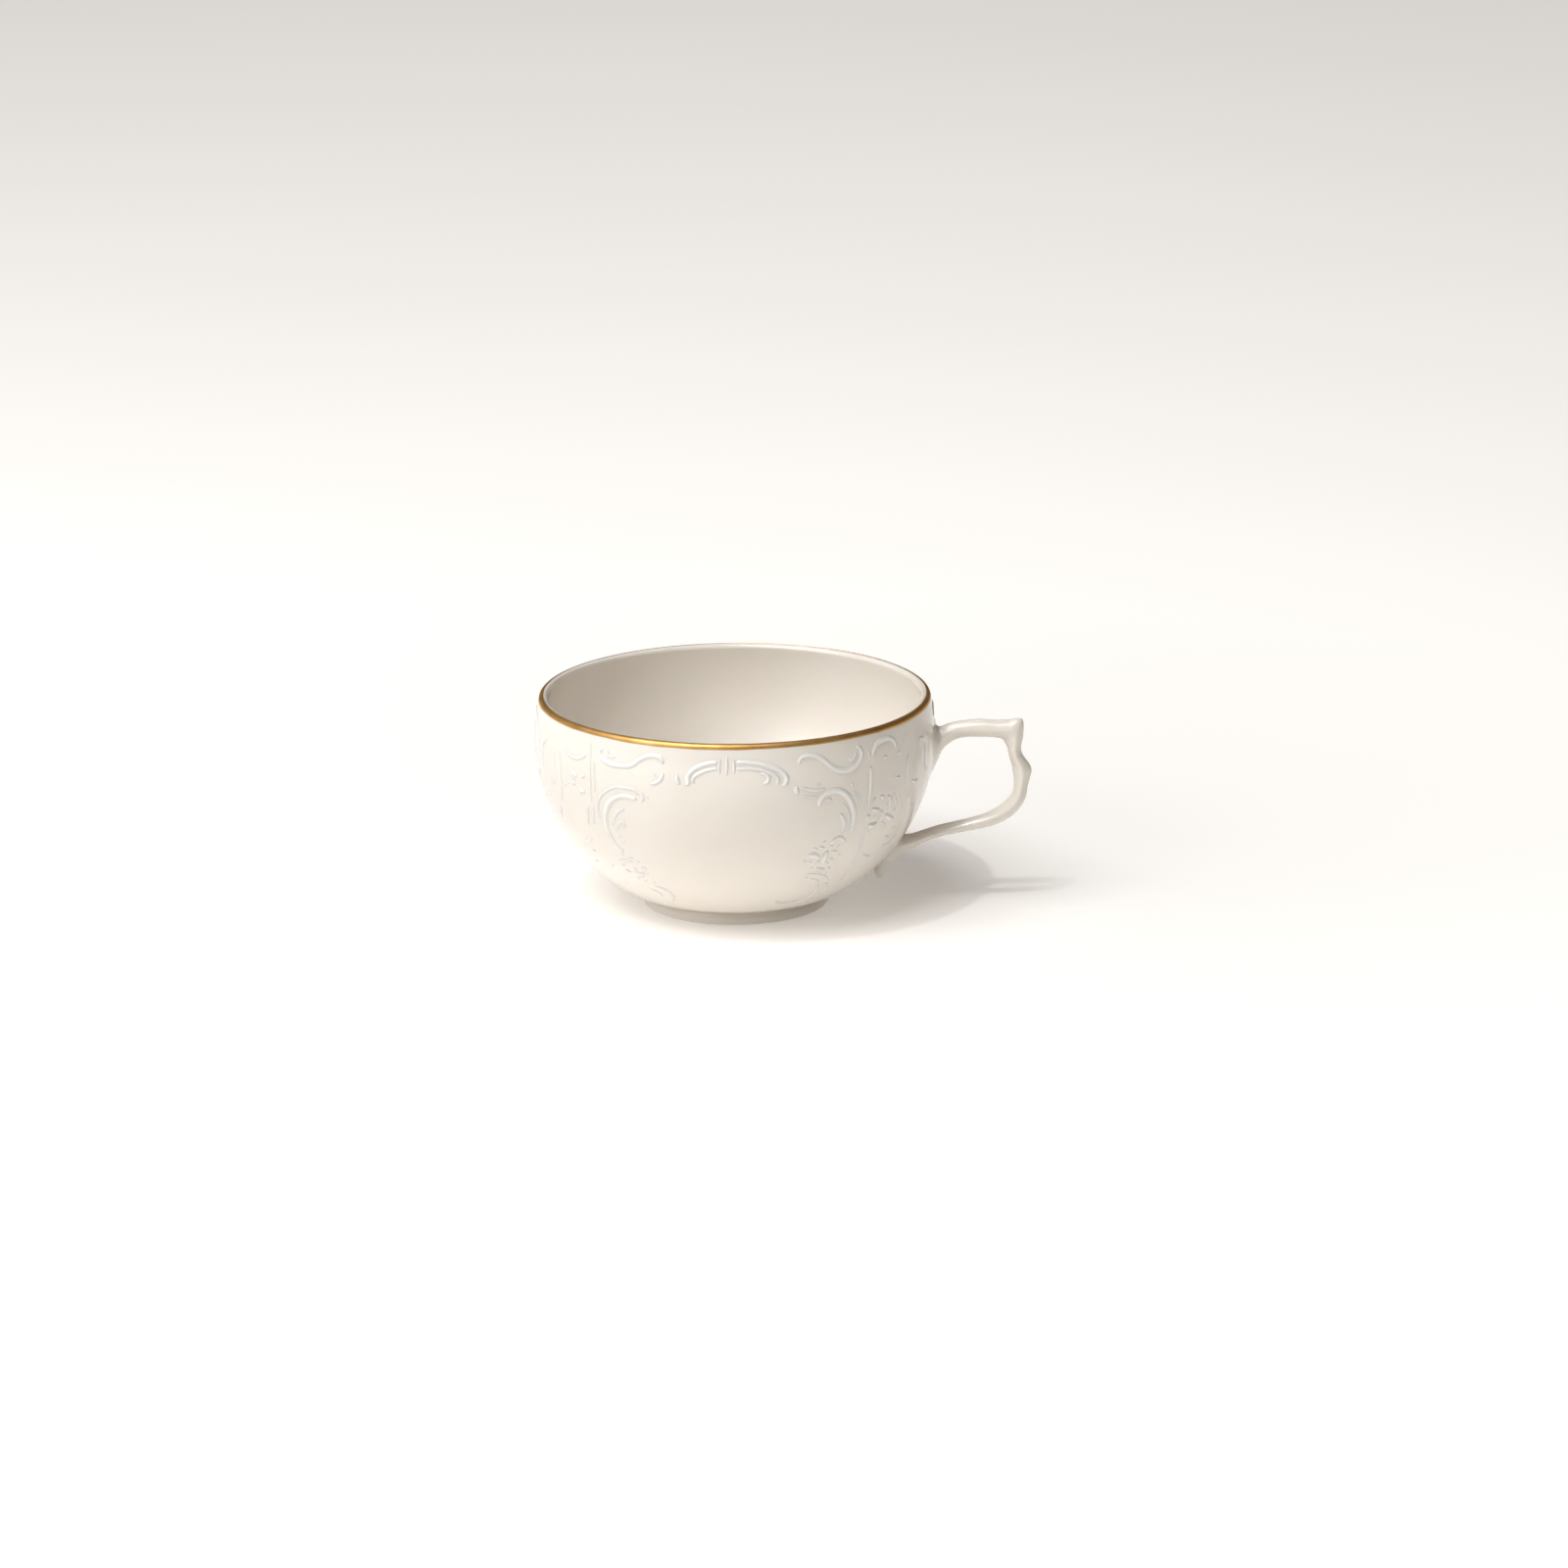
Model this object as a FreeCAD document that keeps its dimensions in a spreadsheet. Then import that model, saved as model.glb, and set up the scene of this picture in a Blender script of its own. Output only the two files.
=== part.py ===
import FreeCAD, Part
import math
import os
import sys

import Sketcher
from FreeCAD import Placement, Rotation, Vector

# A low porcelain teacup with a rococo scroll handle.
# Frame: +Z up, the cup's axis on Z, the table at z = 0, the handle towards +X. Millimetres.
#
# The bowl is turned, so every outline is a half profile in the XZ plane. Its outside is two arcs
# that run smoothly into each other: the underside, and the wall, which bulges and then draws in
# a little towards the mouth. The handle is cast on its own and stuck to the bowl with slip at two
# places, and the gold line is fired onto the lip last.

DIMENSIONS = [
    ("belly_radius", 52.184, "radius of the bowl at its widest place"),
    ("cup_height", 56.1, "table to the top of the lip"),
    ("belly_drop", 11.2, "widest place of the bowl below the top of the lip"),
    ("under_curve", 13.45, "radius of the arc under the bowl"),
    ("wall", 2.3, "thickness of the wall and the floor"),
    ("lip_round", 1.05, "rounding of the lip, inside and outside"),
    ("seat_radius", 23.2, "flat seat under the bowl that meets the foot ring"),
    ("foot_height", 3.7, "table to the flat seat"),
    ("foot_flare", 1.1, "how far the foot ring stands out beyond the seat"),
    ("foot_shoulder", 1.3, "table to the foot ring's widest place"),
    ("foot_bore", 19.8, "inside radius of the foot ring"),
    ("foot_edge", 0.7, "rounding of the foot ring's bottom edges"),
    ("gild_depth", 1.35, "how far the gold line comes down outside, from the top of the lip"),
    ("gild_inset", 1.25, "how far the gold line runs in over the lip from its outside"),
    ("gild_film", 0.12, "thickness of the gold"),
    ("slip_film", 0.3, "thickness of the slip between the handle and the bowl"),
    ("handle_reach", 25.1, "belly of the bowl to the farthest point of the handle"),
    ("handle_top_drop", 7.2, "top of the handle below the top of the lip"),
    ("handle_low", 15.9, "height at which the lower limb meets the bowl"),
    ("limb_depth", 4.8, "depth of the top limb, in the handle's own plane"),
    ("limb_width", 4.8, "width of the limbs, across the handle's plane"),
    ("spur_drop", 10.2, "how far the spur's tip hangs below the place where the limb lands"),
]

# Sizes that follow from the ones above.
DERIVED = [
    ("belly_way", "=belly_radius - seat_radius", "seat's edge out to the belly"),
    (
        "centre_gap",
        "=cup_height - belly_drop - foot_height - under_curve",
        "how far the wall arc's centre is above the under arc's",
    ),
    (
        "wall_curve",
        "=(belly_way ^ 2 + centre_gap ^ 2 - under_curve ^ 2) / (2 * (belly_way - under_curve))",
        "radius of the wall's arc, which touches the arc under the bowl and the belly",
    ),
    (
        "rim_radius",
        "=belly_radius - wall_curve + sqrt(wall_curve ^ 2 - belly_drop ^ 2)",
        "outside of the mouth, before the lip is rounded",
    ),
    ("handle_top", "=cup_height - handle_top_drop", "table to the top of the handle"),
    ("handle_rise", "=handle_top - handle_low", "height of the handle's loop, landing to top"),
]

# The most that the lip's rounding takes of the wall, as a share.
LIP_LIMIT = 0.48
# How far the hollow and the gold line's zone run on past the top of the lip.
MOUTH_CLEARANCE = 1.0
# How far the gold line's zone runs on past the outside of the mouth.
ZONE_MARGIN = 4.0
# How far from level, or from its height, an edge may be and still count as being there.
LEVEL_TOLERANCE = 1e-4

# The handle's sections, from the bowl round to the landing. Each is: its centre as a share of
# the way out to the farthest point, and of the way up from the landing to the top; the direction
# of its depth in degrees from level; its depth and width as shares of the limb's. The upper limb's
# shares start at the belly, and the lower limb's at the place where it lands.
UPPER_LIMB = [
    (-0.130, 0.738, 90, 2.80, 1.75),
    (-0.060, 0.742, 90, 2.74, 1.72),
    (0.008, 0.785, 92, 1.98, 1.42),
    (0.068, 0.845, 100, 1.26, 1.16),
    (0.185, 0.898, 103, 1.01, 1.00),
    (0.311, 0.918, 96, 0.97, 0.96),
    (0.471, 0.923, 90, 1.02, 0.98),
    (0.630, 0.917, 86, 1.00, 1.00),
    (0.730, 0.914, 68, 1.17, 1.02),
    (0.812, 0.902, 53, 1.60, 1.02),
    (0.832, 0.815, 38, 1.12, 0.98),
    (0.825, 0.750, 22, 0.79, 0.98),
    (0.842, 0.690, 12, 0.76, 1.00),
    (0.888, 0.625, 2, 0.97, 1.04),
    (0.904, 0.575, 0, 1.05, 1.06),
    (0.902, 0.516, 0, 0.91, 1.04),
]
LOWER_LIMB = [
    (0.9213, 0.442, -3, 0.79, 1.00),
    (0.9050, 0.367, -15, 0.83, 0.98),
    (0.8688, 0.303, -32, 0.87, 0.97),
    (0.7929, 0.229, -51, 0.89, 0.96),
    (0.6879, 0.173, -62, 0.81, 0.95),
    (0.5666, 0.137, -70, 0.73, 0.94),
    (0.4454, 0.109, -74, 0.68, 0.94),
    (0.3248, 0.079, -74, 0.66, 0.95),
    (0.2191, 0.042, -70, 0.66, 0.98),
    (0.1383, 0.007, -64, 0.76, 1.04),
]
# The landing and the spur, each as: its centre out from the landing's own radius, and down from
# it, both as shares of the spur's drop; the direction; its depth and width as shares of the limb's.
SPUR = [
    (0.162, 0.080, -60, 0.92, 1.12),
    (-0.020, 0.225, -53, 0.97, 1.14),
    (-0.210, 0.410, -45, 0.85, 1.04),
    (-0.350, 0.590, -34, 0.78, 0.90),
    (-0.425, 0.775, -18, 0.66, 0.74),
    (-0.446, 0.900, -6, 0.42, 0.50),
    (-0.440, 0.990, 0, 0.18, 0.24),
]

# Radius of a section's corners, as a share of the section's smaller side.
CORNER_SHARE = 0.3


def make_sheet(doc):
    """The spreadsheet that holds the driving dimensions, one alias each."""
    sheet = doc.addObject("Spreadsheet::Sheet", "dims")
    for row, (alias, value, note) in enumerate(DIMENSIONS + DERIVED, start=1):
        sheet.set(f"A{row}", alias)
        sheet.set(f"B{row}", str(value))
        sheet.setAlias(f"B{row}", alias)
        sheet.set(f"C{row}", note)
    doc.recompute()
    return sheet


class Profile:
    """The bowl's outside from the sheet: the two arcs' centres and radii, and where they meet."""

    def __init__(self, dims):
        self.top = dims.cup_height
        self.seat = (dims.seat_radius, dims.foot_height)
        self.under = (dims.seat_radius, dims.foot_height + dims.under_curve)
        self.under_radius = dims.under_curve
        self.wall = (dims.belly_radius - dims.wall_curve, dims.cup_height - dims.belly_drop)
        self.wall_radius = dims.wall_curve
        # Degrees below level, in radians, at which the wall's arc takes over from the one below.
        self.meeting = math.atan2(dims.centre_gap, self.under[0] - self.wall[0])

    def radius_at(self, height):
        """Outside radius of the bowl at a height above the seat."""
        centre, radius = self.under, self.under_radius
        if height >= self.wall[1] - self.wall_radius * math.sin(self.meeting):
            centre, radius = self.wall, self.wall_radius
        return centre[0] + math.sqrt(radius**2 - (height - centre[1]) ** 2)


def plane(body, role):
    """One of the body's own origin planes."""
    return next(f for f in body.Origin.OriginFeatures if f.Role == role)


def sketch_on(body, name):
    """A new sketch on the body's XZ plane."""
    sketch = body.newObject("Sketcher::SketchObject", name)
    sketch.AttachmentSupport = [(plane(body, "XZ_Plane"), "")]
    sketch.MapMode = "FlatFace"
    return sketch


def flat(x, z):
    """A point in an XZ sketch."""
    return Vector(x, z, 0)


def arc(centre, radius, start, end):
    """An arc in a sketch, anticlockwise from the start to the end angle in radians."""
    return Part.ArcOfCircle(Part.Circle(flat(*centre), Vector(0, 0, 1), radius), start, end)


def bind(sketch, constraint, name, expression):
    """Adds a dimension to a sketch, names it and drives it from the sheet."""
    index = sketch.addConstraint(constraint)
    sketch.renameConstraint(index, name)
    sketch.setExpression(f"Constraints.{name}", expression)


def bowl_outline(sketch, profile, grow, grow_term):
    """A closed half profile, out to the bowl's outside and grow beyond it: floor, two arcs, mouth, axis.
    grow_term is the same growth as an expression, such as '+ dims.slip_film'."""
    bottom = profile.seat[1] - grow
    mouth = profile.top + grow
    wall_radius = profile.wall_radius + grow
    mouth_angle = math.asin((mouth - profile.wall[1]) / wall_radius)
    mouth_radius = profile.wall[0] + wall_radius * math.cos(mouth_angle)
    floor, under, wall, lid, axis = range(5)
    sketch.addGeometry(
        [
            Part.LineSegment(flat(0, bottom), flat(profile.seat[0], bottom)),
            arc(profile.under, profile.under_radius + grow, -math.pi / 2, -profile.meeting),
            arc(profile.wall, wall_radius, -profile.meeting, mouth_angle),
            Part.LineSegment(flat(mouth_radius, mouth), flat(0, mouth)),
            Part.LineSegment(flat(0, mouth), flat(0, bottom)),
        ],
        False,
    )
    start, end, centre = 1, 2, 3
    for constraint in (
        ("Tangent", floor, end, under, start),
        ("Tangent", under, end, wall, start),
        ("Coincident", wall, end, lid, start),
        ("Coincident", lid, end, axis, start),
        ("Coincident", axis, end, floor, start),
        ("Horizontal", floor),
        ("Horizontal", lid),
        ("PointOnObject", floor, start, -2),
        ("PointOnObject", axis, start, -2),
    ):
        sketch.addConstraint(Sketcher.Constraint(*constraint))
    shrink_term = grow_term.replace("+", "-")
    for name, kind, place, value, term in (
        ("seat", "DistanceX", (-1, 1, floor, end), profile.seat[0], "dims.seat_radius"),
        ("bottom", "DistanceY", (-1, 1, floor, end), bottom, f"dims.foot_height {shrink_term}"),
        ("under", "Radius", (under,), profile.under_radius + grow, f"dims.under_curve {grow_term}"),
        ("wall", "Radius", (wall,), wall_radius, f"dims.wall_curve {grow_term}"),
        ("mouth", "DistanceY", (-1, 1, wall, end), mouth, f"dims.cup_height {grow_term}"),
        ("belly", "DistanceY", (-1, 1, wall, centre), profile.wall[1], "dims.cup_height - dims.belly_drop"),
    ):
        bind(sketch, Sketcher.Constraint(kind, *place, value), name, term)


def revolve(body, sketch, kind):
    """Turns a sketch right round the cup's axis, as material or as a cut."""
    feature = body.newObject(f"PartDesign::{kind}", f"{sketch.Name}_turned")
    feature.Profile = sketch
    feature.ReferenceAxis = (sketch, ["V_Axis"])
    feature.Angle = 360
    return feature


def edges_at(shape, height):
    """Names of the round edges that lie level at a height."""
    names = []
    for number, edge in enumerate(shape.Edges, start=1):
        box = edge.BoundBox
        level = box.ZLength < LEVEL_TOLERANCE and abs(box.ZMin - height) < LEVEL_TOLERANCE
        if level and box.XLength > LEVEL_TOLERANCE:
            names.append(f"Edge{number}")
    return names


def round_edges(body, base, height, expression):
    """Rounds the level edges at a height, by a radius from the sheet."""
    fillet = body.newObject("PartDesign::Fillet", f"{base.Name}_rounded")
    fillet.Base = (base, edges_at(base.Shape, height))
    fillet.setExpression("Radius", expression)
    return fillet


LIP = f"min(dims.lip_round; dims.wall * {LIP_LIMIT})"


def filled_form(doc, profile, name, grow, grow_term):
    """The bowl's outside as one full solid, with its lip rounded, to trim other pieces with."""
    body = doc.addObject("PartDesign::Body", name)
    sketch = sketch_on(body, f"{name}_profile")
    bowl_outline(sketch, profile, grow, grow_term)
    turned = revolve(body, sketch, "Revolution")
    doc.recompute()
    round_edges(body, turned, profile.top + grow, f"{LIP} {grow_term}")
    doc.recompute()
    return body


def make_bowl(doc, profile):
    """The turned bowl: the full form, hollowed by the same arcs one wall further in, lip rounded."""
    wall = doc.dims.wall
    body = doc.addObject("PartDesign::Body", "bowl")
    outside = sketch_on(body, "bowl_outside")
    bowl_outline(outside, profile, 0, "")
    revolve(body, outside, "Revolution")
    inside = sketch_on(body, "bowl_inside")
    bowl_outline(inside, profile, -wall, "- dims.wall")
    # The hollow opens through the mouth, so it runs on a little above it.
    inside.setExpression("Constraints.mouth", f"dims.cup_height + {MOUTH_CLEARANCE}")
    inside.setExpression("Constraints.bottom", "dims.foot_height + dims.wall")
    hollow = revolve(body, inside, "Groove")
    doc.recompute()
    round_edges(body, hollow, profile.top, LIP)
    doc.recompute()
    return body


def make_foot_ring(doc):
    """The turned foot: a low ring, hollow at the waist under the bowl and flared to the table."""
    dims = doc.dims
    body = doc.addObject("PartDesign::Body", "foot_ring")
    sketch = sketch_on(body, "foot_section")
    out = dims.seat_radius + dims.foot_flare
    waist = dims.foot_height - dims.foot_shoulder
    swell = (dims.foot_flare**2 + waist**2) / (2 * dims.foot_flare)
    turn = math.asin(waist / swell)
    inner_top = flat(dims.foot_bore, dims.foot_height)
    sketch.addGeometry(
        [
            Part.LineSegment(inner_top, flat(dims.seat_radius, dims.foot_height)),
            arc((out - swell, dims.foot_shoulder), swell, 0, turn),
            Part.LineSegment(flat(out, dims.foot_shoulder), flat(out, 0)),
            Part.LineSegment(flat(out, 0), flat(dims.foot_bore, 0)),
            Part.LineSegment(flat(dims.foot_bore, 0), inner_top),
        ],
        False,
    )
    seat, side, edge, land, bore = range(5)
    for constraint in (
        ("Coincident", seat, 2, side, 2),
        ("Tangent", side, 1, edge, 1),
        ("Coincident", edge, 2, land, 1),
        ("Coincident", land, 2, bore, 1),
        ("Coincident", bore, 2, seat, 1),
        ("Horizontal", seat),
        ("Horizontal", land),
        ("Vertical", edge),
        ("Vertical", bore),
        ("PointOnObject", land, 1, -1),
    ):
        sketch.addConstraint(Sketcher.Constraint(*constraint))
    for geometry, end, direction, name, value, term in (
        (seat, 2, "X", "seat", dims.seat_radius, "dims.seat_radius"),
        (seat, 2, "Y", "height", dims.foot_height, "dims.foot_height"),
        (seat, 1, "X", "bore", dims.foot_bore, "dims.foot_bore"),
        (edge, 1, "X", "flare", out, "dims.seat_radius + dims.foot_flare"),
        (edge, 1, "Y", "shoulder", dims.foot_shoulder, "dims.foot_shoulder"),
    ):
        bind(sketch, Sketcher.Constraint(f"Distance{direction}", -1, 1, geometry, end, value), name, term)
    turned = revolve(body, sketch, "Revolution")
    doc.recompute()
    round_edges(body, turned, 0, "dims.foot_edge")
    doc.recompute()
    return body


def section(doc, name, centre, direction, depth, width):
    """One section of the handle: a rhombus with its corners well rounded.
    The centre is two expressions in the handle's plane; depth and width are each a value with its
    expression."""
    sketch = doc.addObject("Sketcher::SketchObject", name)
    # The sketch's own X runs along the depth and its Y across the handle.
    sketch.Placement = Placement(Vector(0, 0, 0), Rotation(Vector(0, 1, 0), -direction))
    sketch.setExpression("Placement.Base.x", centre[0])
    sketch.setExpression("Placement.Base.z", centre[1])
    corner = min(depth[0], width[0]) * CORNER_SHARE
    ahead = depth[0] / 2 - corner
    aside = width[0] / 2 - corner
    # Corner arcs at +X, +Y, -X and -Y, anticlockwise, and the four flats that join them.
    centres = [(ahead, 0), (0, aside), (-ahead, 0), (0, -aside)]
    lean = math.atan2(ahead, aside)
    turns = [-lean, lean, math.pi - lean, math.pi + lean, 2 * math.pi - lean]
    for number, middle in enumerate(centres):
        sketch.addGeometry(arc(middle, corner, turns[number], turns[number + 1]), False)
    for number, middle in enumerate(centres):
        after = centres[(number + 1) % 4]
        away = flat(corner * math.cos(turns[number + 1]), corner * math.sin(turns[number + 1]))
        sketch.addGeometry(Part.LineSegment(flat(*middle) + away, flat(*after) + away), False)
    for number in range(4):
        sketch.addConstraint(Sketcher.Constraint("Tangent", number, 2, number + 4, 1))
        sketch.addConstraint(Sketcher.Constraint("Tangent", number + 4, 2, (number + 1) % 4, 1))
    for number in range(1, 4):
        sketch.addConstraint(Sketcher.Constraint("Equal", 0, number))
    sketch.addConstraint(Sketcher.Constraint("PointOnObject", 0, 3, -1))
    sketch.addConstraint(Sketcher.Constraint("PointOnObject", 1, 3, -2))
    sketch.addConstraint(Sketcher.Constraint("Symmetric", 0, 3, 2, 3, -1, 1))
    sketch.addConstraint(Sketcher.Constraint("Symmetric", 1, 3, 3, 3, -1, 1))
    corner_term = f"min({depth[1]}; {width[1]}) * {CORNER_SHARE}"
    bind(sketch, Sketcher.Constraint("Radius", 0, corner), "corner", corner_term)
    bind(
        sketch,
        Sketcher.Constraint("DistanceX", -1, 1, 0, 3, ahead),
        "ahead",
        f"{depth[1]} / 2 - {corner_term}",
    )
    bind(
        sketch,
        Sketcher.Constraint("DistanceY", -1, 1, 1, 3, aside),
        "aside",
        f"{width[1]} / 2 - {corner_term}",
    )
    return sketch


def make_handle_blank(doc, profile):
    """The handle as cast, before its ends are cut to the bowl: sections along a scroll, lofted."""
    dims = doc.dims
    landing = f"{profile.radius_at(dims.handle_low):.4f}"
    upper_way = "dims.handle_reach"
    lower_way = f"(dims.belly_radius + dims.handle_reach - {landing})"
    sections = []
    for name, rows, origin, way in (
        ("upper", UPPER_LIMB, "dims.belly_radius", upper_way),
        ("lower", LOWER_LIMB, landing, lower_way),
    ):
        for number, (out, up, direction, deep, wide) in enumerate(rows, start=1):
            centre = (f"{origin} + {way} * {out}", f"dims.handle_low + dims.handle_rise * {up}")
            sections.append((f"{name}_{number:02d}", centre, direction, deep, wide))
    for number, (out, down, direction, deep, wide) in enumerate(SPUR, start=1):
        centre = (f"{landing} + dims.spur_drop * {out}", f"dims.handle_low - dims.spur_drop * {down}")
        sections.append((f"spur_{number:02d}", centre, direction, deep, wide))
    sketches = []
    for name, centre, direction, deep, wide in sections:
        depth = (dims.limb_depth * deep, f"dims.limb_depth * {deep}")
        width = (dims.limb_width * wide, f"dims.limb_width * {wide}")
        sketches.append(section(doc, name, centre, direction, depth, width))
    doc.recompute()
    # Sections this close together are joined by surfaces of low degree, which can't overshoot.
    blank = doc.addObject("Part::Loft", "handle_blank")
    blank.Sections = sketches
    blank.Solid = True
    blank.Ruled = False
    blank.MaxDegree = 2
    doc.recompute()
    return blank


def boolean(doc, kind, name, base, tool):
    """A Part cut or common of two objects."""
    feature = doc.addObject(f"Part::{kind}", name)
    feature.Base = base
    feature.Tool = tool
    doc.recompute()
    return feature


def split_slip(doc, slip):
    """The slip under each end of the handle, told apart by a level halfway between the landing and
    the underside of the upper end."""
    _, up, _, deep, _ = UPPER_LIMB[0]
    gap = f"dims.handle_rise * {up} - dims.limb_depth * {deep} / 2"
    below = doc.addObject("Part::Cylinder", "below_the_upper_end")
    below.setExpression("Radius", "dims.rim_radius + dims.handle_reach")
    below.setExpression("Height", f"dims.handle_low + ({gap}) / 2")
    doc.recompute()
    upper = boolean(doc, "Cut", "upper_slip_cut", slip, below)
    lower = boolean(doc, "Common", "lower_slip_cut", slip, below)
    return upper, lower


def make_gilding(doc, bowl, gold_form):
    """The gold line: what lies between the bowl and the bowl grown by the film, over the lip."""
    dims = doc.dims
    zone = doc.addObject("PartDesign::Body", "gilding_zone")
    sketch = sketch_on(zone, "gilding_zone_section")
    inner = dims.rim_radius - dims.gild_inset
    outer = dims.rim_radius + ZONE_MARGIN
    low, high = dims.cup_height - dims.gild_depth, dims.cup_height + MOUTH_CLEARANCE
    corners = [flat(inner, low), flat(outer, low), flat(outer, high), flat(inner, high)]
    sketch.addGeometry([Part.LineSegment(corners[i], corners[(i + 1) % 4]) for i in range(4)], False)
    for i in range(4):
        sketch.addConstraint(Sketcher.Constraint("Coincident", i, 2, (i + 1) % 4, 1))
        sketch.addConstraint(Sketcher.Constraint("Horizontal" if i % 2 == 0 else "Vertical", i))
    for name, direction, edge, end, value, term in (
        ("inner", "X", 0, 1, inner, "dims.rim_radius - dims.gild_inset"),
        ("outer", "X", 0, 2, outer, f"dims.rim_radius + {ZONE_MARGIN}"),
        ("low", "Y", 0, 1, low, "dims.cup_height - dims.gild_depth"),
        ("high", "Y", 2, 1, high, f"dims.cup_height + {MOUTH_CLEARANCE}"),
    ):
        bind(sketch, Sketcher.Constraint(f"Distance{direction}", -1, 1, edge, end, value), name, term)
    revolve(zone, sketch, "Revolution")
    doc.recompute()
    skin = boolean(doc, "Cut", "gold_skin", gold_form, bowl)
    return boolean(doc, "Common", "rim_gilding", skin, zone)


def check_document(doc):
    """Stops with a message if any object of the document failed to build."""
    for item in doc.Objects:
        if "Invalid" in item.State or "Error" in item.State:
            sys.exit(f"{item.Label} did not build: {item.State}")


def write_parts(pieces):
    os.makedirs("parts", exist_ok=True)
    for label, item in pieces.items():
        item.Label = label
        shape = item.Shape
        if shape.isNull() or not shape.isValid() or shape.Volume <= 0:
            sys.exit(f"{label} has no valid solid")
        shape.exportStep(os.path.join("parts", f"{label}.step"))
        print(f"{label}: {len(shape.Solids)} solid(s), {shape.Volume:.1f} mm3, {shape.BoundBox}")


def main():
    doc = FreeCAD.newDocument("teacup")
    dims = make_sheet(doc)
    profile = Profile(dims)
    bowl = make_bowl(doc, profile)
    foot_ring = make_foot_ring(doc)
    bare_form = filled_form(doc, profile, "bare_form", 0, "")
    slip_form = filled_form(doc, profile, "slip_form", dims.slip_film, "+ dims.slip_film")
    gold_form = filled_form(doc, profile, "gold_form", dims.gild_film, "+ dims.gild_film")
    blank = make_handle_blank(doc, profile)
    handle = boolean(doc, "Cut", "handle_cut", blank, slip_form)
    slip_skin = boolean(doc, "Cut", "slip_skin", slip_form, bare_form)
    slip = boolean(doc, "Common", "handle_slip", blank, slip_skin)
    upper_slip, lower_slip = split_slip(doc, slip)
    gilding = make_gilding(doc, bowl, gold_form)
    doc.recompute()
    check_document(doc)
    write_parts(
        {
            "bowl": bowl,
            "foot_ring": foot_ring,
            "handle": handle,
            "upper_slip_joint": upper_slip,
            "lower_slip_joint": lower_slip,
            "rim_gilding": gilding,
        }
    )


main()
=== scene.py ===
"""A low porcelain teacup with moulded rococo ornament, a scroll handle and a gold-lined rim.

Metres, +Z up, the cup's axis on Z, the handle towards +X and the cartouche towards -Y.
"""

import math

import bpy
import numpy as np
from mathutils import Matrix, Vector


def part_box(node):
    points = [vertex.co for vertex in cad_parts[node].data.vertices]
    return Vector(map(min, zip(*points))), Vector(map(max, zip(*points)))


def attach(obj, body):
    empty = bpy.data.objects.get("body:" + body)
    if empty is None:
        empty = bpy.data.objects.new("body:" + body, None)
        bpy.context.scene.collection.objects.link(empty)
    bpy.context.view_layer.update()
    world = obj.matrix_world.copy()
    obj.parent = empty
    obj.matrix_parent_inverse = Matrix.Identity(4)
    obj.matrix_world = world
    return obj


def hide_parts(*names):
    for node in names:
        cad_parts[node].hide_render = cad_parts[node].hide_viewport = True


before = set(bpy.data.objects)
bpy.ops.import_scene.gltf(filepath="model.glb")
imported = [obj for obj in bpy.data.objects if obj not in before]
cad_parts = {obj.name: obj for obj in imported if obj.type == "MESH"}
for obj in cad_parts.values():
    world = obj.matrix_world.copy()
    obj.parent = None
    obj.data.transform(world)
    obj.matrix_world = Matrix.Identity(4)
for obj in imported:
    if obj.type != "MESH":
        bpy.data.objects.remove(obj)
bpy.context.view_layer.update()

MM = 0.001

# ---------------------------------------------------------------- the cup's sizes, in millimetres
BELLY_RADIUS = 52.184
CUP_HEIGHT = 56.1
BELLY_DROP = 11.2
SEAT_RADIUS = 23.2
FOOT_HEIGHT = 3.7
FOOT_SHOULDER = 1.3
FOOT_BORE = 19.8
FOOT_EDGE = 0.7
UNDER_CURVE = 13.45
WALL = 2.3
LIP_ROUND = 1.05
HANDLE_REACH = 25.1
HANDLE_TOP_DROP = 7.2
HANDLE_TOP = CUP_HEIGHT - HANDLE_TOP_DROP
HANDLE_LOW = 15.9
HANDLE_RISE = HANDLE_TOP - HANDLE_LOW
LIMB_DEPTH = 4.8
LIMB_WIDTH = 4.8
SPUR_DROP = 10.2

# How finely the pieces are cut: steps round each turned piece and round the handle's section, steps
# between two of the handle's stations, and points across one ridge of the ornament.
BOWL_SEGMENTS = 360
FOOT_SEGMENTS = 256
GOLD_SEGMENTS = 512
HANDLE_SEGMENTS = 56
HANDLE_STEPS = 10
RIDGE_POINTS = 13

# A radius or a length below this, in millimetres, counts as nothing.
NOTHING = 1e-9


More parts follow.
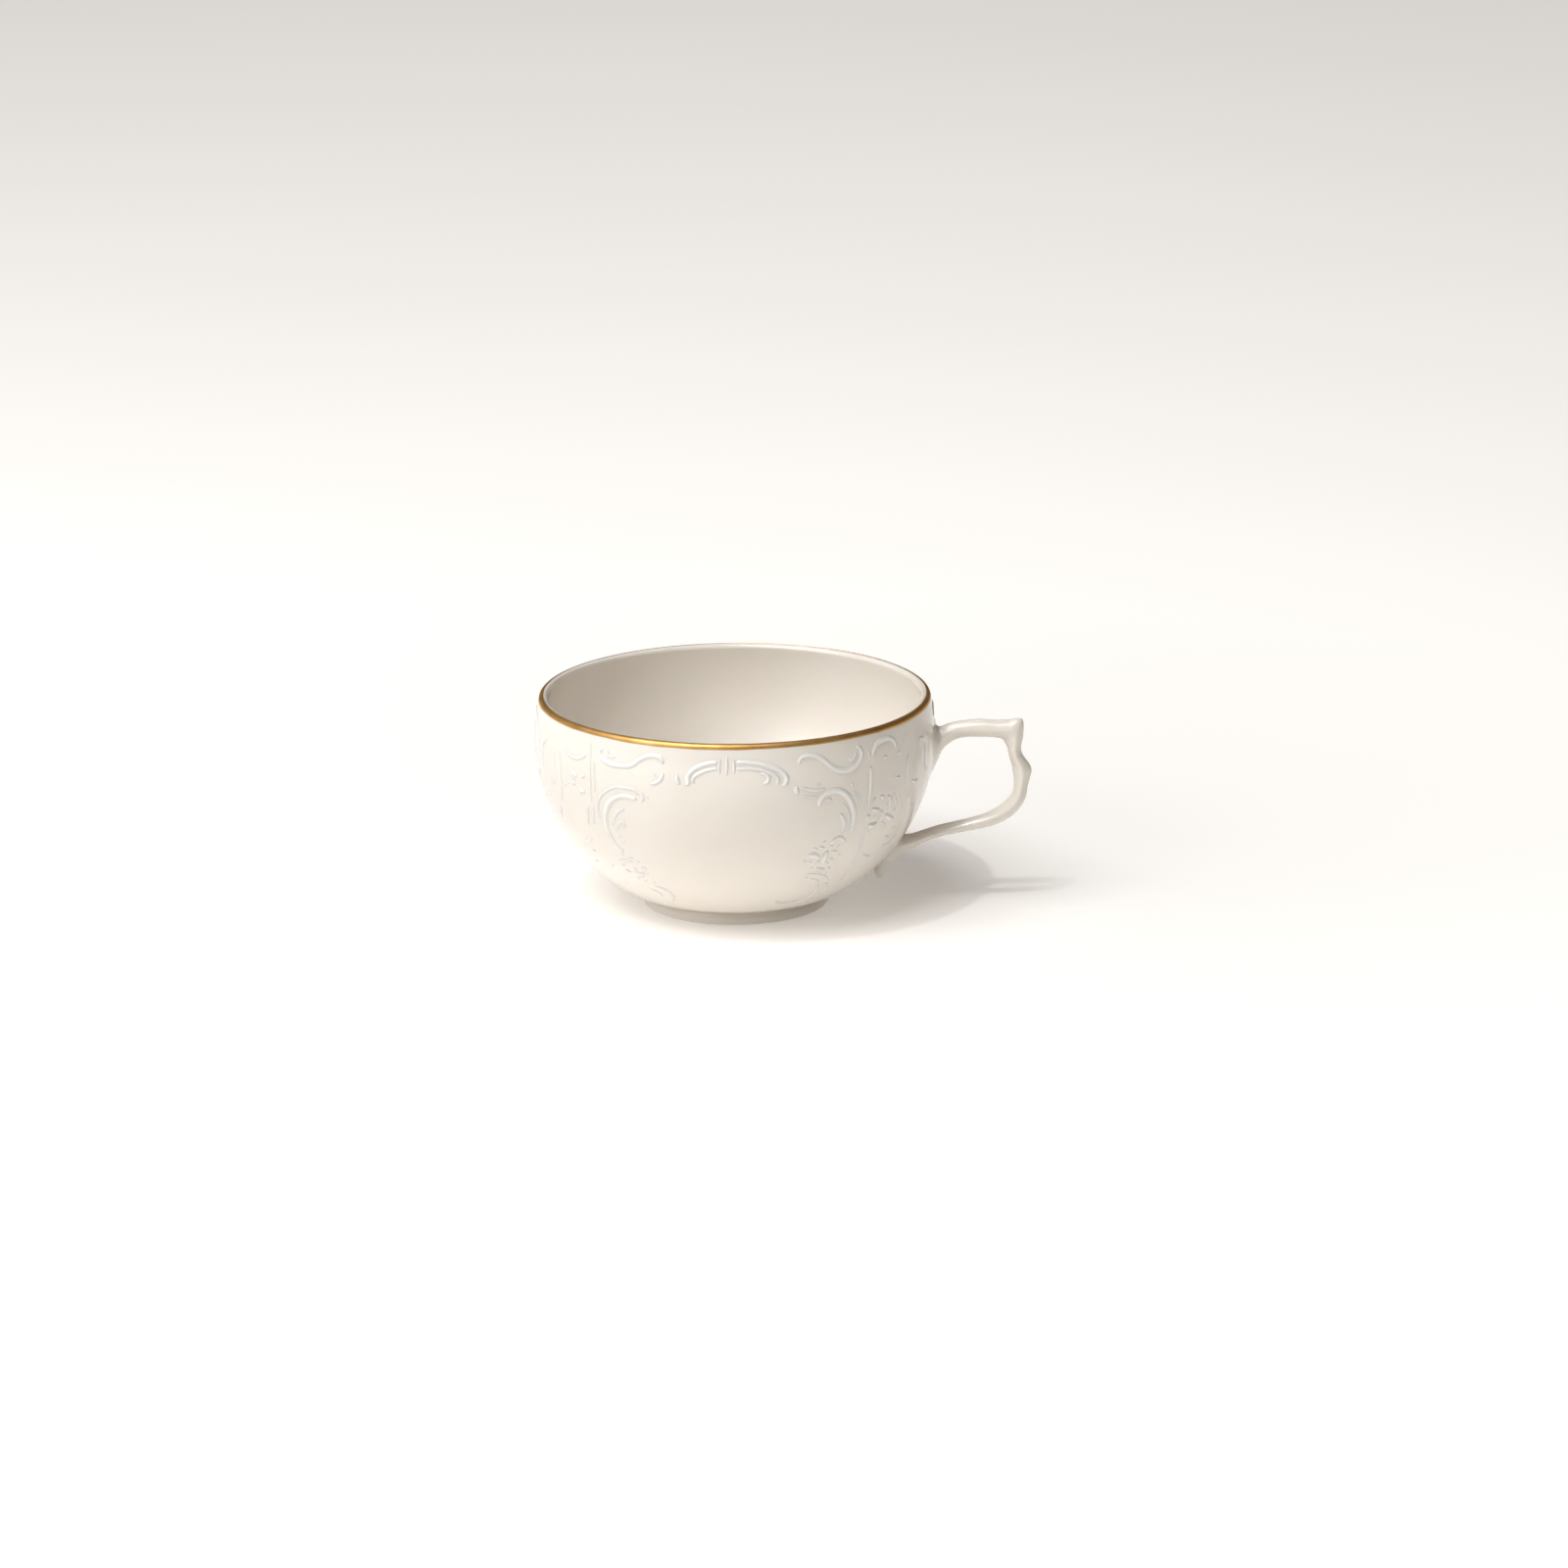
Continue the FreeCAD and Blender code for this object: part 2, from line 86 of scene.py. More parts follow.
# ---------------------------------------------------------------- the bowl's outline
class BowlShape:
    """The bowl's outside as two arcs, and whatever lies a given distance outside or inside them."""

    def __init__(self):
        way = BELLY_RADIUS - SEAT_RADIUS
        self.under_radius = UNDER_CURVE
        gap = CUP_HEIGHT - BELLY_DROP - FOOT_HEIGHT - self.under_radius
        squares = way**2 + gap**2 - self.under_radius**2
        self.wall_radius = squares / (2 * (way - self.under_radius))
        self.under = (SEAT_RADIUS, FOOT_HEIGHT + self.under_radius)
        self.wall = (BELLY_RADIUS - self.wall_radius, CUP_HEIGHT - BELLY_DROP)
        self.meeting = math.atan2(gap, SEAT_RADIUS - self.wall[0])
        self.arcs = [
            (self.under, self.under_radius, -math.pi / 2, -self.meeting),
            (self.wall, self.wall_radius, -self.meeting, math.asin(BELLY_DROP / self.wall_radius)),
        ]
        self.lengths = [radius * (end - start) for _, radius, start, end in self.arcs]
        self.length = sum(self.lengths)

    def at(self, travelled):
        """(radius, height) at a distance up the wall from the seat's edge."""
        which = 0 if travelled < self.lengths[0] else 1
        centre, radius, start, _ = self.arcs[which]
        angle = start + (travelled - which * self.lengths[0]) / radius
        return centre[0] + radius * math.cos(angle), centre[1] + radius * math.sin(angle)

    def radius_at(self, height):
        """The outside radius at a height on the wall's own arc or the one below it."""
        centre, radius = self.under, self.under_radius
        if height >= self.wall[1] - self.wall_radius * math.sin(self.meeting):
            centre, radius = self.wall, self.wall_radius
        return centre[0] + math.sqrt(radius**2 - (height - centre[1]) ** 2)

    def lip(self, depth):
        """Centre of the lip's rounding under the surface that lies depth inside the wall, and the
        angle at which the rounding takes over from that surface."""
        angle = math.asin((BELLY_DROP - LIP_ROUND) / (self.wall_radius - depth))
        across = self.wall[0] + (self.wall_radius - depth) * math.cos(angle)
        return (across, CUP_HEIGHT - LIP_ROUND), angle

    def clearance(self, radius, height):
        """How far outside the wall points lie (negative inside), and the outward normal there in the
        half plane."""
        radius, height = np.asarray(radius, float), np.asarray(height, float)
        best = None
        for centre, size, start, end in self.arcs:
            dx, dz = radius - centre[0], height - centre[1]
            angle = np.clip(np.arctan2(dz, dx), start, end)
            px, pz = centre[0] + size * np.cos(angle), centre[1] + size * np.sin(angle)
            gap = np.hypot(radius - px, height - pz)
            side = (radius - px) * np.cos(angle) + (height - pz) * np.sin(angle)
            signed = np.where(side >= 0, gap, -gap)
            found = (gap, signed, np.cos(angle), np.sin(angle))
            if best is None:
                best = found
                continue
            nearer = gap < best[0]
            best = tuple(np.where(nearer, new, old) for new, old in zip(found, best))
        return best[1:]


SHAPE = BowlShape()


def arc_points(centre, radius, start, end, count):
    """Points along an arc, both ends included."""
    angles = np.linspace(start, end, count)
    return [(centre[0] + radius * math.cos(a), centre[1] + radius * math.sin(a)) for a in angles]


# ---------------------------------------------------------------- mesh helpers
def mesh_object(name, points, faces, materials):
    """A mesh object at the origin from points in millimetres."""
    mesh = bpy.data.meshes.new(name)
    mesh.from_pydata([tuple(c * MM for c in p) for p in points], [], faces)
    mesh.validate()
    obj = bpy.data.objects.new(name, mesh)
    bpy.context.collection.objects.link(obj)
    for material in materials:
        mesh.materials.append(material)
    for polygon in mesh.polygons:
        polygon.use_smooth = True
    mesh.update()
    return obj


def turned(name, outline, segments, materials, pick=None, wobble=None):
    """A shape turned about Z from a closed outline of (radius, height), listed so that the outside is
    on the right going along it. Points on the axis become poles. pick gives a material slot for an
    outline step, and wobble moves a point by its index and angle."""
    points, rows, faces, slots = [], [], [], []
    for index, (radius, height) in enumerate(outline):
        if radius < NOTHING:
            rows.append([len(points)] * segments)
            points.append((0.0, 0.0, height))
            continue
        row = []
        for k in range(segments):
            angle = 2 * math.pi * k / segments
            r, z = (radius, height) if wobble is None else wobble(index, angle, radius, height)
            row.append(len(points))
            points.append((r * math.cos(angle), r * math.sin(angle), z))
        rows.append(row)
    closed = outline[0][0] > NOTHING
    steps = len(rows) if closed else len(rows) - 1
    for i in range(steps):
        low, high = rows[i], rows[(i + 1) % len(rows)]
        for k in range(segments):
            n = (k + 1) % segments
            corners = [low[k], low[n], high[n], high[k]]
            face = [c for j, c in enumerate(corners) if c != corners[j - 1]]
            faces.append(face)
            slots.append(0 if pick is None else pick(i))
    obj = mesh_object(name, points, faces, materials)
    for polygon, slot in zip(obj.data.polygons, slots):
        polygon.material_index = slot
    return obj


# ---------------------------------------------------------------- finishes
def new_material(name):
    material = bpy.data.materials.new(name)
    material.use_nodes = True
    nodes = material.node_tree.nodes
    nodes.clear()
    out = nodes.new("ShaderNodeOutputMaterial")
    shader = nodes.new("ShaderNodeBsdfPrincipled")
    material.node_tree.links.new(shader.outputs[0], out.inputs["Surface"])
    return material, material.node_tree, shader


def noise(tree, vector, scale, detail=2.0, roughness=0.5):
    node = tree.nodes.new("ShaderNodeTexNoise")
    node.inputs["Scale"].default_value = scale
    node.inputs["Detail"].default_value = detail
    node.inputs["Roughness"].default_value = roughness
    tree.links.new(vector, node.inputs["Vector"])
    return node.outputs["Fac"]


def ramp(tree, value, stops):
    node = tree.nodes.new("ShaderNodeValToRGB")
    tree.links.new(value, node.inputs["Fac"])
    elements = node.color_ramp.elements
    while len(elements) < len(stops):
        elements.new(0.5)
    for element, (place, colour) in zip(elements, stops):
        element.position = place
        element.color = (*colour, 1.0)
    return node.outputs["Color"]


def spread(tree, value, low, high, source=(0.0, 1.0)):
    """A value spread over a range."""
    node = tree.nodes.new("ShaderNodeMapRange")
    node.inputs["From Min"].default_value = source[0]
    node.inputs["From Max"].default_value = source[1]
    node.inputs["To Min"].default_value = low
    node.inputs["To Max"].default_value = high
    tree.links.new(value, node.inputs["Value"])
    return node.outputs["Result"]


def bump(tree, height, distance, strength, below=None):
    node = tree.nodes.new("ShaderNodeBump")
    node.inputs["Distance"].default_value = distance
    node.inputs["Strength"].default_value = strength
    tree.links.new(height, node.inputs["Height"])
    if below is not None:
        tree.links.new(below, node.inputs["Normal"])
    return node.outputs["Normal"]


def place_of(tree):
    """Object coordinates, in metres."""
    return tree.nodes.new("ShaderNodeTexCoord").outputs["Object"]


def ivory_glaze():
    """Clear glaze over ivory porcelain: a warm body that light enters a little, and a wet gloss.
    The glaze is thin and whiter on the crests of the raised ornament, whose height is an attribute."""
    material, tree, shader = new_material("ivory_glaze")
    place = place_of(tree)
    body = ramp(
        tree,
        noise(tree, place, 28.0, 3.0),
        [
            (0.30, (0.798, 0.746, 0.668)),
            (0.55, (0.820, 0.772, 0.698)),
            (0.75, (0.836, 0.792, 0.726)),
        ],
    )
    relief = tree.nodes.new("ShaderNodeAttribute")
    relief.attribute_name = "relief"
    thin = tree.nodes.new("ShaderNodeMix")
    thin.data_type = "RGBA"
    tree.links.new(relief.outputs["Fac"], thin.inputs["Factor"])
    tree.links.new(body, thin.inputs["A"])
    thin.inputs["B"].default_value = (0.872, 0.835, 0.778, 1)
    tree.links.new(thin.outputs["Result"], shader.inputs["Base Color"])
    sheen = spread(tree, noise(tree, place, 160.0, 2.0), 0.10, 0.19)
    tree.links.new(sheen, shader.inputs["Roughness"])
    ripple = bump(tree, noise(tree, place, 70.0, 1.0), 0.00035, 0.35)
    peel = bump(tree, noise(tree, place, 620.0, 2.0), 0.00006, 0.25, ripple)
    tree.links.new(peel, shader.inputs["Normal"])
    shader.inputs["IOR"].default_value = 1.5
    shader.inputs["Subsurface Weight"].default_value = 0.22
    shader.inputs["Subsurface Radius"].default_value = (1.0, 0.72, 0.48)
    shader.inputs["Subsurface Scale"].default_value = 0.0016
    shader.inputs["Coat Weight"].default_value = 0.35
    shader.inputs["Coat Roughness"].default_value = 0.05
    return material


def fired_gold():
    """A brushed-on line of gold, a little uneven, with streaks along the way it was painted."""
    material, tree, shader = new_material("fired_gold")
    place = place_of(tree)
    split = tree.nodes.new("ShaderNodeSeparateXYZ")
    tree.links.new(place, split.inputs[0])
    turn = tree.nodes.new("ShaderNodeMath")
    turn.operation = "ARCTAN2"
    tree.links.new(split.outputs["Y"], turn.inputs[0])
    tree.links.new(split.outputs["X"], turn.inputs[1])
    joined = tree.nodes.new("ShaderNodeCombineXYZ")
    tree.links.new(turn.outputs[0], joined.inputs["X"])
    stretched = tree.nodes.new("ShaderNodeMath")
    stretched.operation = "MULTIPLY"
    stretched.inputs[1].default_value = 900.0
    tree.links.new(split.outputs["Z"], stretched.inputs[0])
    tree.links.new(stretched.outputs[0], joined.inputs["Y"])
    streaks = noise(tree, joined.outputs[0], 6.0, 4.0, 0.6)
    blotches = noise(tree, place, 140.0, 3.0)
    gold = ramp(
        tree,
        blotches,
        [(0.25, (0.56, 0.31, 0.090)), (0.50, (0.70, 0.41, 0.135)), (0.78, (0.80, 0.50, 0.20))],
    )
    tree.links.new(gold, shader.inputs["Base Color"])
    tree.links.new(spread(tree, streaks, 0.40, 0.56), shader.inputs["Roughness"])
    tree.links.new(bump(tree, streaks, 0.00003, 0.5), shader.inputs["Normal"])
    shader.inputs["Metallic"].default_value = 1.0
    return material


def bare_biscuit():
    """Unglazed porcelain on the foot's land: dry, matt, with fine grit."""
    material, tree, shader = new_material("bare_biscuit")
    place = place_of(tree)
    clay = ramp(
        tree,
        noise(tree, place, 900.0, 4.0, 0.65),
        [(0.3, (0.62, 0.56, 0.47)), (0.7, (0.74, 0.69, 0.60))],
    )
    tree.links.new(clay, shader.inputs["Base Color"])
    dry = spread(tree, noise(tree, place, 400.0, 3.0), 0.62, 0.86)
    tree.links.new(dry, shader.inputs["Roughness"])
    grit = bump(tree, noise(tree, place, 2400.0, 3.0, 0.7), 0.00004, 0.6)
    tree.links.new(grit, shader.inputs["Normal"])
    return material


GLAZE = ivory_glaze()
GOLD = fired_gold()
BISCUIT = bare_biscuit()


# ---------------------------------------------------------------- the bowl
def wall_run(inwards, stop, counts):
    """Points from the seat's edge up the wall, on the surface that lies inwards of the outside."""
    run = []
    for (centre, radius, start, end), count in zip(SHAPE.arcs, counts):
        last = stop if centre == SHAPE.wall else end
        run += arc_points(centre, radius - inwards, start, last, count)[bool(run) :]
    return run


def make_bowl():
    """The turned bowl: outer arcs, rounded lip, the same arcs one wall further in, and flat seat."""
    seat_steps = (0.0, 8.0, 16.0)
    outer_counts = (16, 62)
    inner_counts = (16, 56)
    outer_lip_count = 9
    inner_lip_count = 12
    lip_out, out_angle = SHAPE.lip(LIP_ROUND)
    lip_in, in_angle = SHAPE.lip(WALL - LIP_ROUND)
    outline = [(radius, FOOT_HEIGHT) for radius in seat_steps]
    outline += wall_run(0, out_angle, outer_counts)
    outline += arc_points(lip_out, LIP_ROUND, out_angle, math.pi / 2, outer_lip_count)[1:]
    outline += arc_points(lip_in, LIP_ROUND, math.pi / 2, math.pi + in_angle, inner_lip_count)
    outline += wall_run(WALL, in_angle, inner_counts)[::-1][1:]
    outline += [(radius, FOOT_HEIGHT + WALL) for radius in seat_steps[::-1]]
    return turned("bowl_porcelain", outline, BOWL_SEGMENTS, [GLAZE])


def make_foot_ring():
    """The turned foot: waisted under the bowl, swelling to the table, with a bare flat land."""
    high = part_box("foot_ring")[1]
    out = high[0] / MM
    edge_count = 8
    swell_count = 10
    waist = FOOT_HEIGHT - FOOT_SHOULDER
    flare = out - SEAT_RADIUS
    swell = (flare**2 + waist**2) / (2 * flare)
    turn = math.asin(waist / swell)
    edge_out = (out - FOOT_EDGE, FOOT_EDGE)
    edge_in = (FOOT_BORE + FOOT_EDGE, FOOT_EDGE)
    outline = arc_points(edge_out, FOOT_EDGE, -math.pi / 2, 0, edge_count)
    outline += arc_points((out - swell, FOOT_SHOULDER), swell, 0, turn, swell_count)
    outline += [(FOOT_BORE, FOOT_HEIGHT), (FOOT_BORE, FOOT_EDGE)]
    outline += arc_points(edge_in, FOOT_EDGE, math.pi, 1.5 * math.pi, edge_count)[1:]
    land = len(outline) - 1
    finishes = [GLAZE, BISCUIT]
    return turned("foot_ring_porcelain", outline, FOOT_SEGMENTS, finishes, pick=lambda i: int(i == land))


def make_gold_line():
    """The gold line: from just below the lip outside, over the lip to its crest."""
    film = 0.05
    sunk = 0.08
    side_below = 0.40
    crest_width = 0.10
    side_count = 4
    over_count = 12
    # How the brushed edge wavers: each wave's size, how many go round, and where it starts.
    waves = ((0.07, 5, 1.0), (0.05, 13, 0.0), (0.03, 31, 2.0))
    crest_share = (0.6, 0.3)
    lip_out, out_angle = SHAPE.lip(LIP_ROUND)
    start = out_angle - side_below / SHAPE.wall_radius

    def run(offset):
        side = arc_points(SHAPE.wall, SHAPE.wall_radius + offset, start, out_angle, side_count)
        over = arc_points(lip_out, LIP_ROUND + offset, out_angle, math.pi / 2, over_count)[1:]
        return side + over + [(lip_out[0] - crest_width, CUP_HEIGHT + offset)]

    outer = run(film)
    outline = outer + run(-sunk)[::-1]
    last = len(outer)

    def hand_painted(index, angle, radius, height):
        uneven = sum(size * math.sin(number * angle + begin) for size, number, begin in waves)
        if index in (0, len(outline) - 1):
            return radius, height + uneven
        if index in (last - 1, last):
            return radius + crest_share[0] * uneven, height + crest_share[1] * uneven
        return radius, height

    return turned("gold_line", outline, GOLD_SEGMENTS, [GOLD], wobble=hand_painted)


# ---------------------------------------------------------------- the moulded ornament
# The ornament is drawn flat, as on an unrolled wall: each stroke is its half width in millimetres
# and its points, in degrees round the cup from the front towards the handle, and in millimetres
# up the wall. It is then raised and wrapped onto the bowl, and repeated half a turn round.
CARTOUCHE_TOP = [
    (0.42, [(-4.3, 57.2), (-4.6, 59.2), (-4.2, 61.3)]),
    (0.46, [(-2.4, 56.8), (-2.4, 59.2), (-2.3, 61.8)]),
    (0.42, [(-0.5, 57.2), (-0.3, 59.2), (-0.6, 61.3)]),
    (0.78, [(0.2, 60.3), (4.2, 60.2), (9.0, 59.3), (12.6, 57.8), (14.4, 55.9), (14.1, 54.3),
            (12.9, 53.9)]),
    (0.60, [(0.2, 58.6), (4.2, 58.6), (8.0, 58.0), (10.8, 56.8), (12.1, 55.4), (11.5, 54.2)]),
    (0.66, [(6.9, 57.0), (8.2, 57.3), (9.3, 56.3), (9.0, 55.0), (7.8, 54.5)]),
    (0.78, [(-4.8, 60.3), (-8.2, 59.8), (-11.6, 58.4), (-13.4, 56.4), (-13.2, 54.8), (-14.4, 54.0)]),
    (0.58, [(-4.8, 58.7), (-8.2, 58.1), (-10.8, 57.0), (-12.0, 55.6), (-11.4, 54.6)]),
    (0.74, [(-16.5, 56.9), (-16.6, 55.4), (-15.6, 54.1)]),
    (0.64, [(-24.8, 53.5), (-22.8, 54.1), (-21.3, 55.2), (-20.7, 56.9)]),
    (0.46, [(-23.6, 56.6), (-22.8, 55.4)]),
]
CARTOUCHE_RIGHT = [
    (0.88, [(24.4, 46.8), (24.6, 48.6), (26.0, 50.2), (28.5, 50.9), (31.2, 50.4), (33.5, 48.7),
            (35.3, 46.0), (36.5, 43.0), (36.7, 40.3), (36.2, 38.5), (35.0, 37.8)]),
    (0.52, [(26.3, 47.9), (27.4, 48.7), (28.5, 48.1)]),
    (0.66, [(31.3, 44.3), (32.6, 42.6), (33.3, 40.8), (33.4, 38.2)]),
    (0.36, [(31.6, 47.2), (33.5, 45.4), (34.8, 43.0), (35.0, 40.4)]),
    (0.58, [(34.7, 52.4), (35.0, 50.9)]),
    (0.44, [(35.4, 50.2), (36.4, 47.8), (37.6, 45.6)]),
    (0.42, [(36.8, 49.8), (38.2, 46.4), (40.0, 43.0)]),
    (0.78, [(29.8, 35.1), (30.8, 36.2), (32.4, 36.8), (34.0, 36.1), (35.3, 34.8)]),
    (0.84, [(31.2, 19.8), (32.1, 17.2), (32.0, 14.6), (30.6, 12.4), (28.0, 11.0), (24.5, 10.3),
            (21.0, 10.7), (18.2, 12.0), (16.4, 13.4)]),
    (0.66, [(35.0, 19.8), (36.6, 17.0), (36.2, 14.4), (34.4, 12.2)]),
    (0.40, [(24.0, 25.3), (27.0, 25.0), (30.2, 24.2), (33.2, 22.6), (35.4, 20.6)]),
    (0.36, [(26.2, 23.2), (29.0, 22.2), (31.0, 20.8)]),
    (0.34, [(20.6, 12.4), (23.6, 12.0), (26.6, 12.6)]),
]
CARTOUCHE_LEFT = [
    (0.88, [(-29.0, 48.9), (-32.5, 49.4), (-36.0, 48.6), (-38.7, 46.6), (-40.6, 43.6), (-41.4, 40.2),
            (-41.1, 36.6), (-39.8, 33.8), (-37.3, 31.9)]),
    (0.52, [(-28.2, 50.0), (-29.6, 51.3), (-33.0, 51.6), (-36.5, 51.2), (-39.6, 49.7), (-42.4, 47.2),
            (-43.6, 44.0), (-43.6, 41.0)]),
    (0.56, [(-33.4, 45.7), (-35.6, 44.9), (-37.6, 42.7), (-38.9, 39.9)]),
    (0.50, [(-38.2, 38.4), (-36.8, 40.4), (-35.0, 42.0), (-34.2, 41.2), (-34.9, 39.8)]),
    (0.40, [(-37.8, 36.4), (-36.0, 37.8)]),
    (0.38, [(-36.8, 34.8), (-35.2, 36.2)]),
    (0.50, [(-27.6, 51.2), (-27.0, 49.6), (-27.6, 48.2)]),
    (0.40, [(-25.7, 50.2), (-25.3, 49.0)]),
    (0.50, [(-45.3, 44.6), (-46.3, 41.6), (-47.1, 38.4)]),
    (0.44, [(-47.6, 44.4), (-48.6, 41.2), (-49.6, 38.0)]),
    (0.80, [(-31.8, 19.2), (-28.6, 18.8), (-26.4, 17.2), (-26.4, 15.0), (-28.0, 12.8), (-30.8, 11.4)]),
    (0.58, [(-34.4, 17.8), (-32.0, 16.4), (-31.2, 14.4)]),
    (0.44, [(-30.4, 22.6), (-29.0, 24.6)]),
]
SCROLLS = [
    (0.80, [(18.2, 59.0), (18.9, 60.5), (21.0, 61.0), (23.5, 60.6), (25.6, 59.4), (27.6, 57.7),
            (30.0, 56.3), (33.0, 55.7), (35.8, 56.2), (37.8, 57.6), (38.6, 59.4), (37.9, 60.9),
            (36.5, 61.0)]),
    (0.50, [(33.4, 58.6), (35.2, 58.3), (36.4, 59.2), (36.0, 60.2)]),
    (0.80, [(-20.8, 59.0), (-21.5, 60.5), (-23.6, 61.0), (-26.1, 60.6), (-28.4, 59.4), (-30.4, 58.0),
            (-33.0, 57.4), (-36.2, 57.2), (-39.0, 57.4), (-41.4, 58.4), (-42.0, 59.9), (-40.6, 61.0)]),
    (0.50, [(-36.0, 59.4), (-37.8, 59.0), (-39.0, 59.7), (-38.6, 60.6)]),
    (0.82, [(17.5, 53.5), (17.3, 52.2), (17.8, 51.0)]),
    (0.46, [(18.8, 53.0), (21.0, 52.1), (24.0, 51.6), (26.2, 52.0)]),
    (0.40, [(18.8, 50.8), (21.5, 50.1), (23.8, 49.8)]),
    (0.46, [(23.4, 53.7), (24.8, 52.8)]),
    (0.76, [(42.8, 57.8), (43.3, 59.6), (45.0, 61.0), (48.0, 61.5), (50.8, 61.0), (52.3, 59.6),
            (52.5, 58.0)]),
    (0.60, [(52.9, 56.8), (54.4, 56.6), (55.1, 57.8), (54.8, 59.0)]),
    (0.86, [(46.9, 56.8), (48.5, 56.6)]),
    (0.62, [(52.4, 50.4), (54.8, 49.8)]),
    (0.62, [(41.0, 59.9), (41.3, 57.6)]),
    (0.66, [(-58.2, 58.0), (-55.4, 56.8), (-52.0, 56.4), (-49.0, 57.1), (-47.2, 58.2)]),
    (0.66, [(46.3, 28.4), (48.4, 27.2), (50.6, 26.9)]),
    (0.42, [(44.4, 30.4), (45.2, 28.0), (45.0, 25.6)]),
    (0.70, [(54.8, 29.6), (57.4, 29.1), (59.8, 30.0), (61.6, 31.6)]),
    (0.46, [(53.0, 33.2), (55.0, 32.4), (57.2, 31.7)]),
    (0.42, [(55.8, 34.6), (58.2, 35.2)]),
    (0.50, [(47.4, 19.4), (49.0, 18.2)]),
    (0.66, [(-55.8, 31.3), (-52.8, 32.5), (-50.0, 34.0)]),
    (0.74, [(-54.2, 28.8), (-51.8, 29.5)]),
    (0.60, [(-58.0, 24.0), (-54.8, 24.9)]),
    (0.46, [(-60.8, 26.0), (-57.8, 27.4)]),
    (0.44, [(-48.2, 24.0), (-45.8, 25.6)]),
    (0.50, [(-46.8, 17.6), (-44.6, 18.3)]),
]
RIBS = [
    (0.62, [(41.7, 55.6), (41.7, 50.0), (41.8, 43.6)]),
    (0.50, [(41.6, 38.6), (42.4, 34.0), (42.8, 29.0), (42.6, 24.0), (42.8, 19.0)]),
    (0.46, [(-45.7, 61.6), (-45.7, 53.0), (-45.8, 45.6)]),
    (0.42, [(-43.8, 57.2), (-43.8, 52.0), (-43.9, 48.6)]),
    (0.50, [(57.0, 57.8), (57.7, 59.7), (59.2, 61.0)]),
    (0.66, [(58.8, 55.4), (58.2, 53.0), (58.1, 50.5), (58.5, 48.1), (59.6, 46.7)]),
    (0.60, [(65.8, 57.7), (68.2, 57.3), (69.7, 56.0), (70.2, 53.0), (70.4, 50.2), (71.4, 48.6)]),
    (0.62, [(71.8, 49.2), (72.2, 47.5)]),
    (0.60, [(61.4, 47.7), (63.6, 46.6), (65.6, 47.1)]),
    (0.34, [(60.8, 56.0), (60.6, 51.4)]),
    (0.32, [(66.4, 55.4), (66.4, 50.2)]),
    (0.44, [(73.6, 57.6), (73.9, 54.6), (73.6, 51.8)]),
    (0.50, [(60.4, 44.0), (61.6, 42.0), (62.6, 40.2)]),
    (0.42, [(63.8, 40.0), (66.2, 40.3)]),
    (0.42, [(55.6, 44.8), (57.2, 42.4), (59.2, 40.2)]),
    (0.60, [(66.4, 33.9), (68.6, 33.4)]),
    (0.84, [(-60.6, 56.6), (-60.2, 51.0), (-60.5, 46.6), (-61.6, 43.0)]),
    (0.60, [(-69.0, 57.6), (-70.8, 56.8), (-72.4, 55.4), (-72.8, 52.6), (-72.6, 49.8)]),
    (0.50, [(-64.0, 47.7), (-66.2, 46.6), (-68.2, 47.1)]),
    (0.34, [(-63.4, 56.0), (-63.2, 51.4)]),
    (0.44, [(-76.2, 57.6), (-76.5, 54.6), (-76.2, 51.8)]),
    (0.50, [(-63.2, 41.2), (-64.6, 38.6), (-66.8, 36.6)]),
    (0.46, [(-90.0, 57.4), (-90.4, 52.0), (-90.0, 46.6)]),
    (0.60, [(-82.0, 58.6), (-84.6, 60.6), (-88.6, 61.4), (-92.4, 60.8), (-94.6, 58.8)]),
    (0.54, [(-80.4, 47.0), (-83.2, 44.2), (-87.6, 42.8), (-92.0, 43.4), (-95.2, 45.8)]),
]
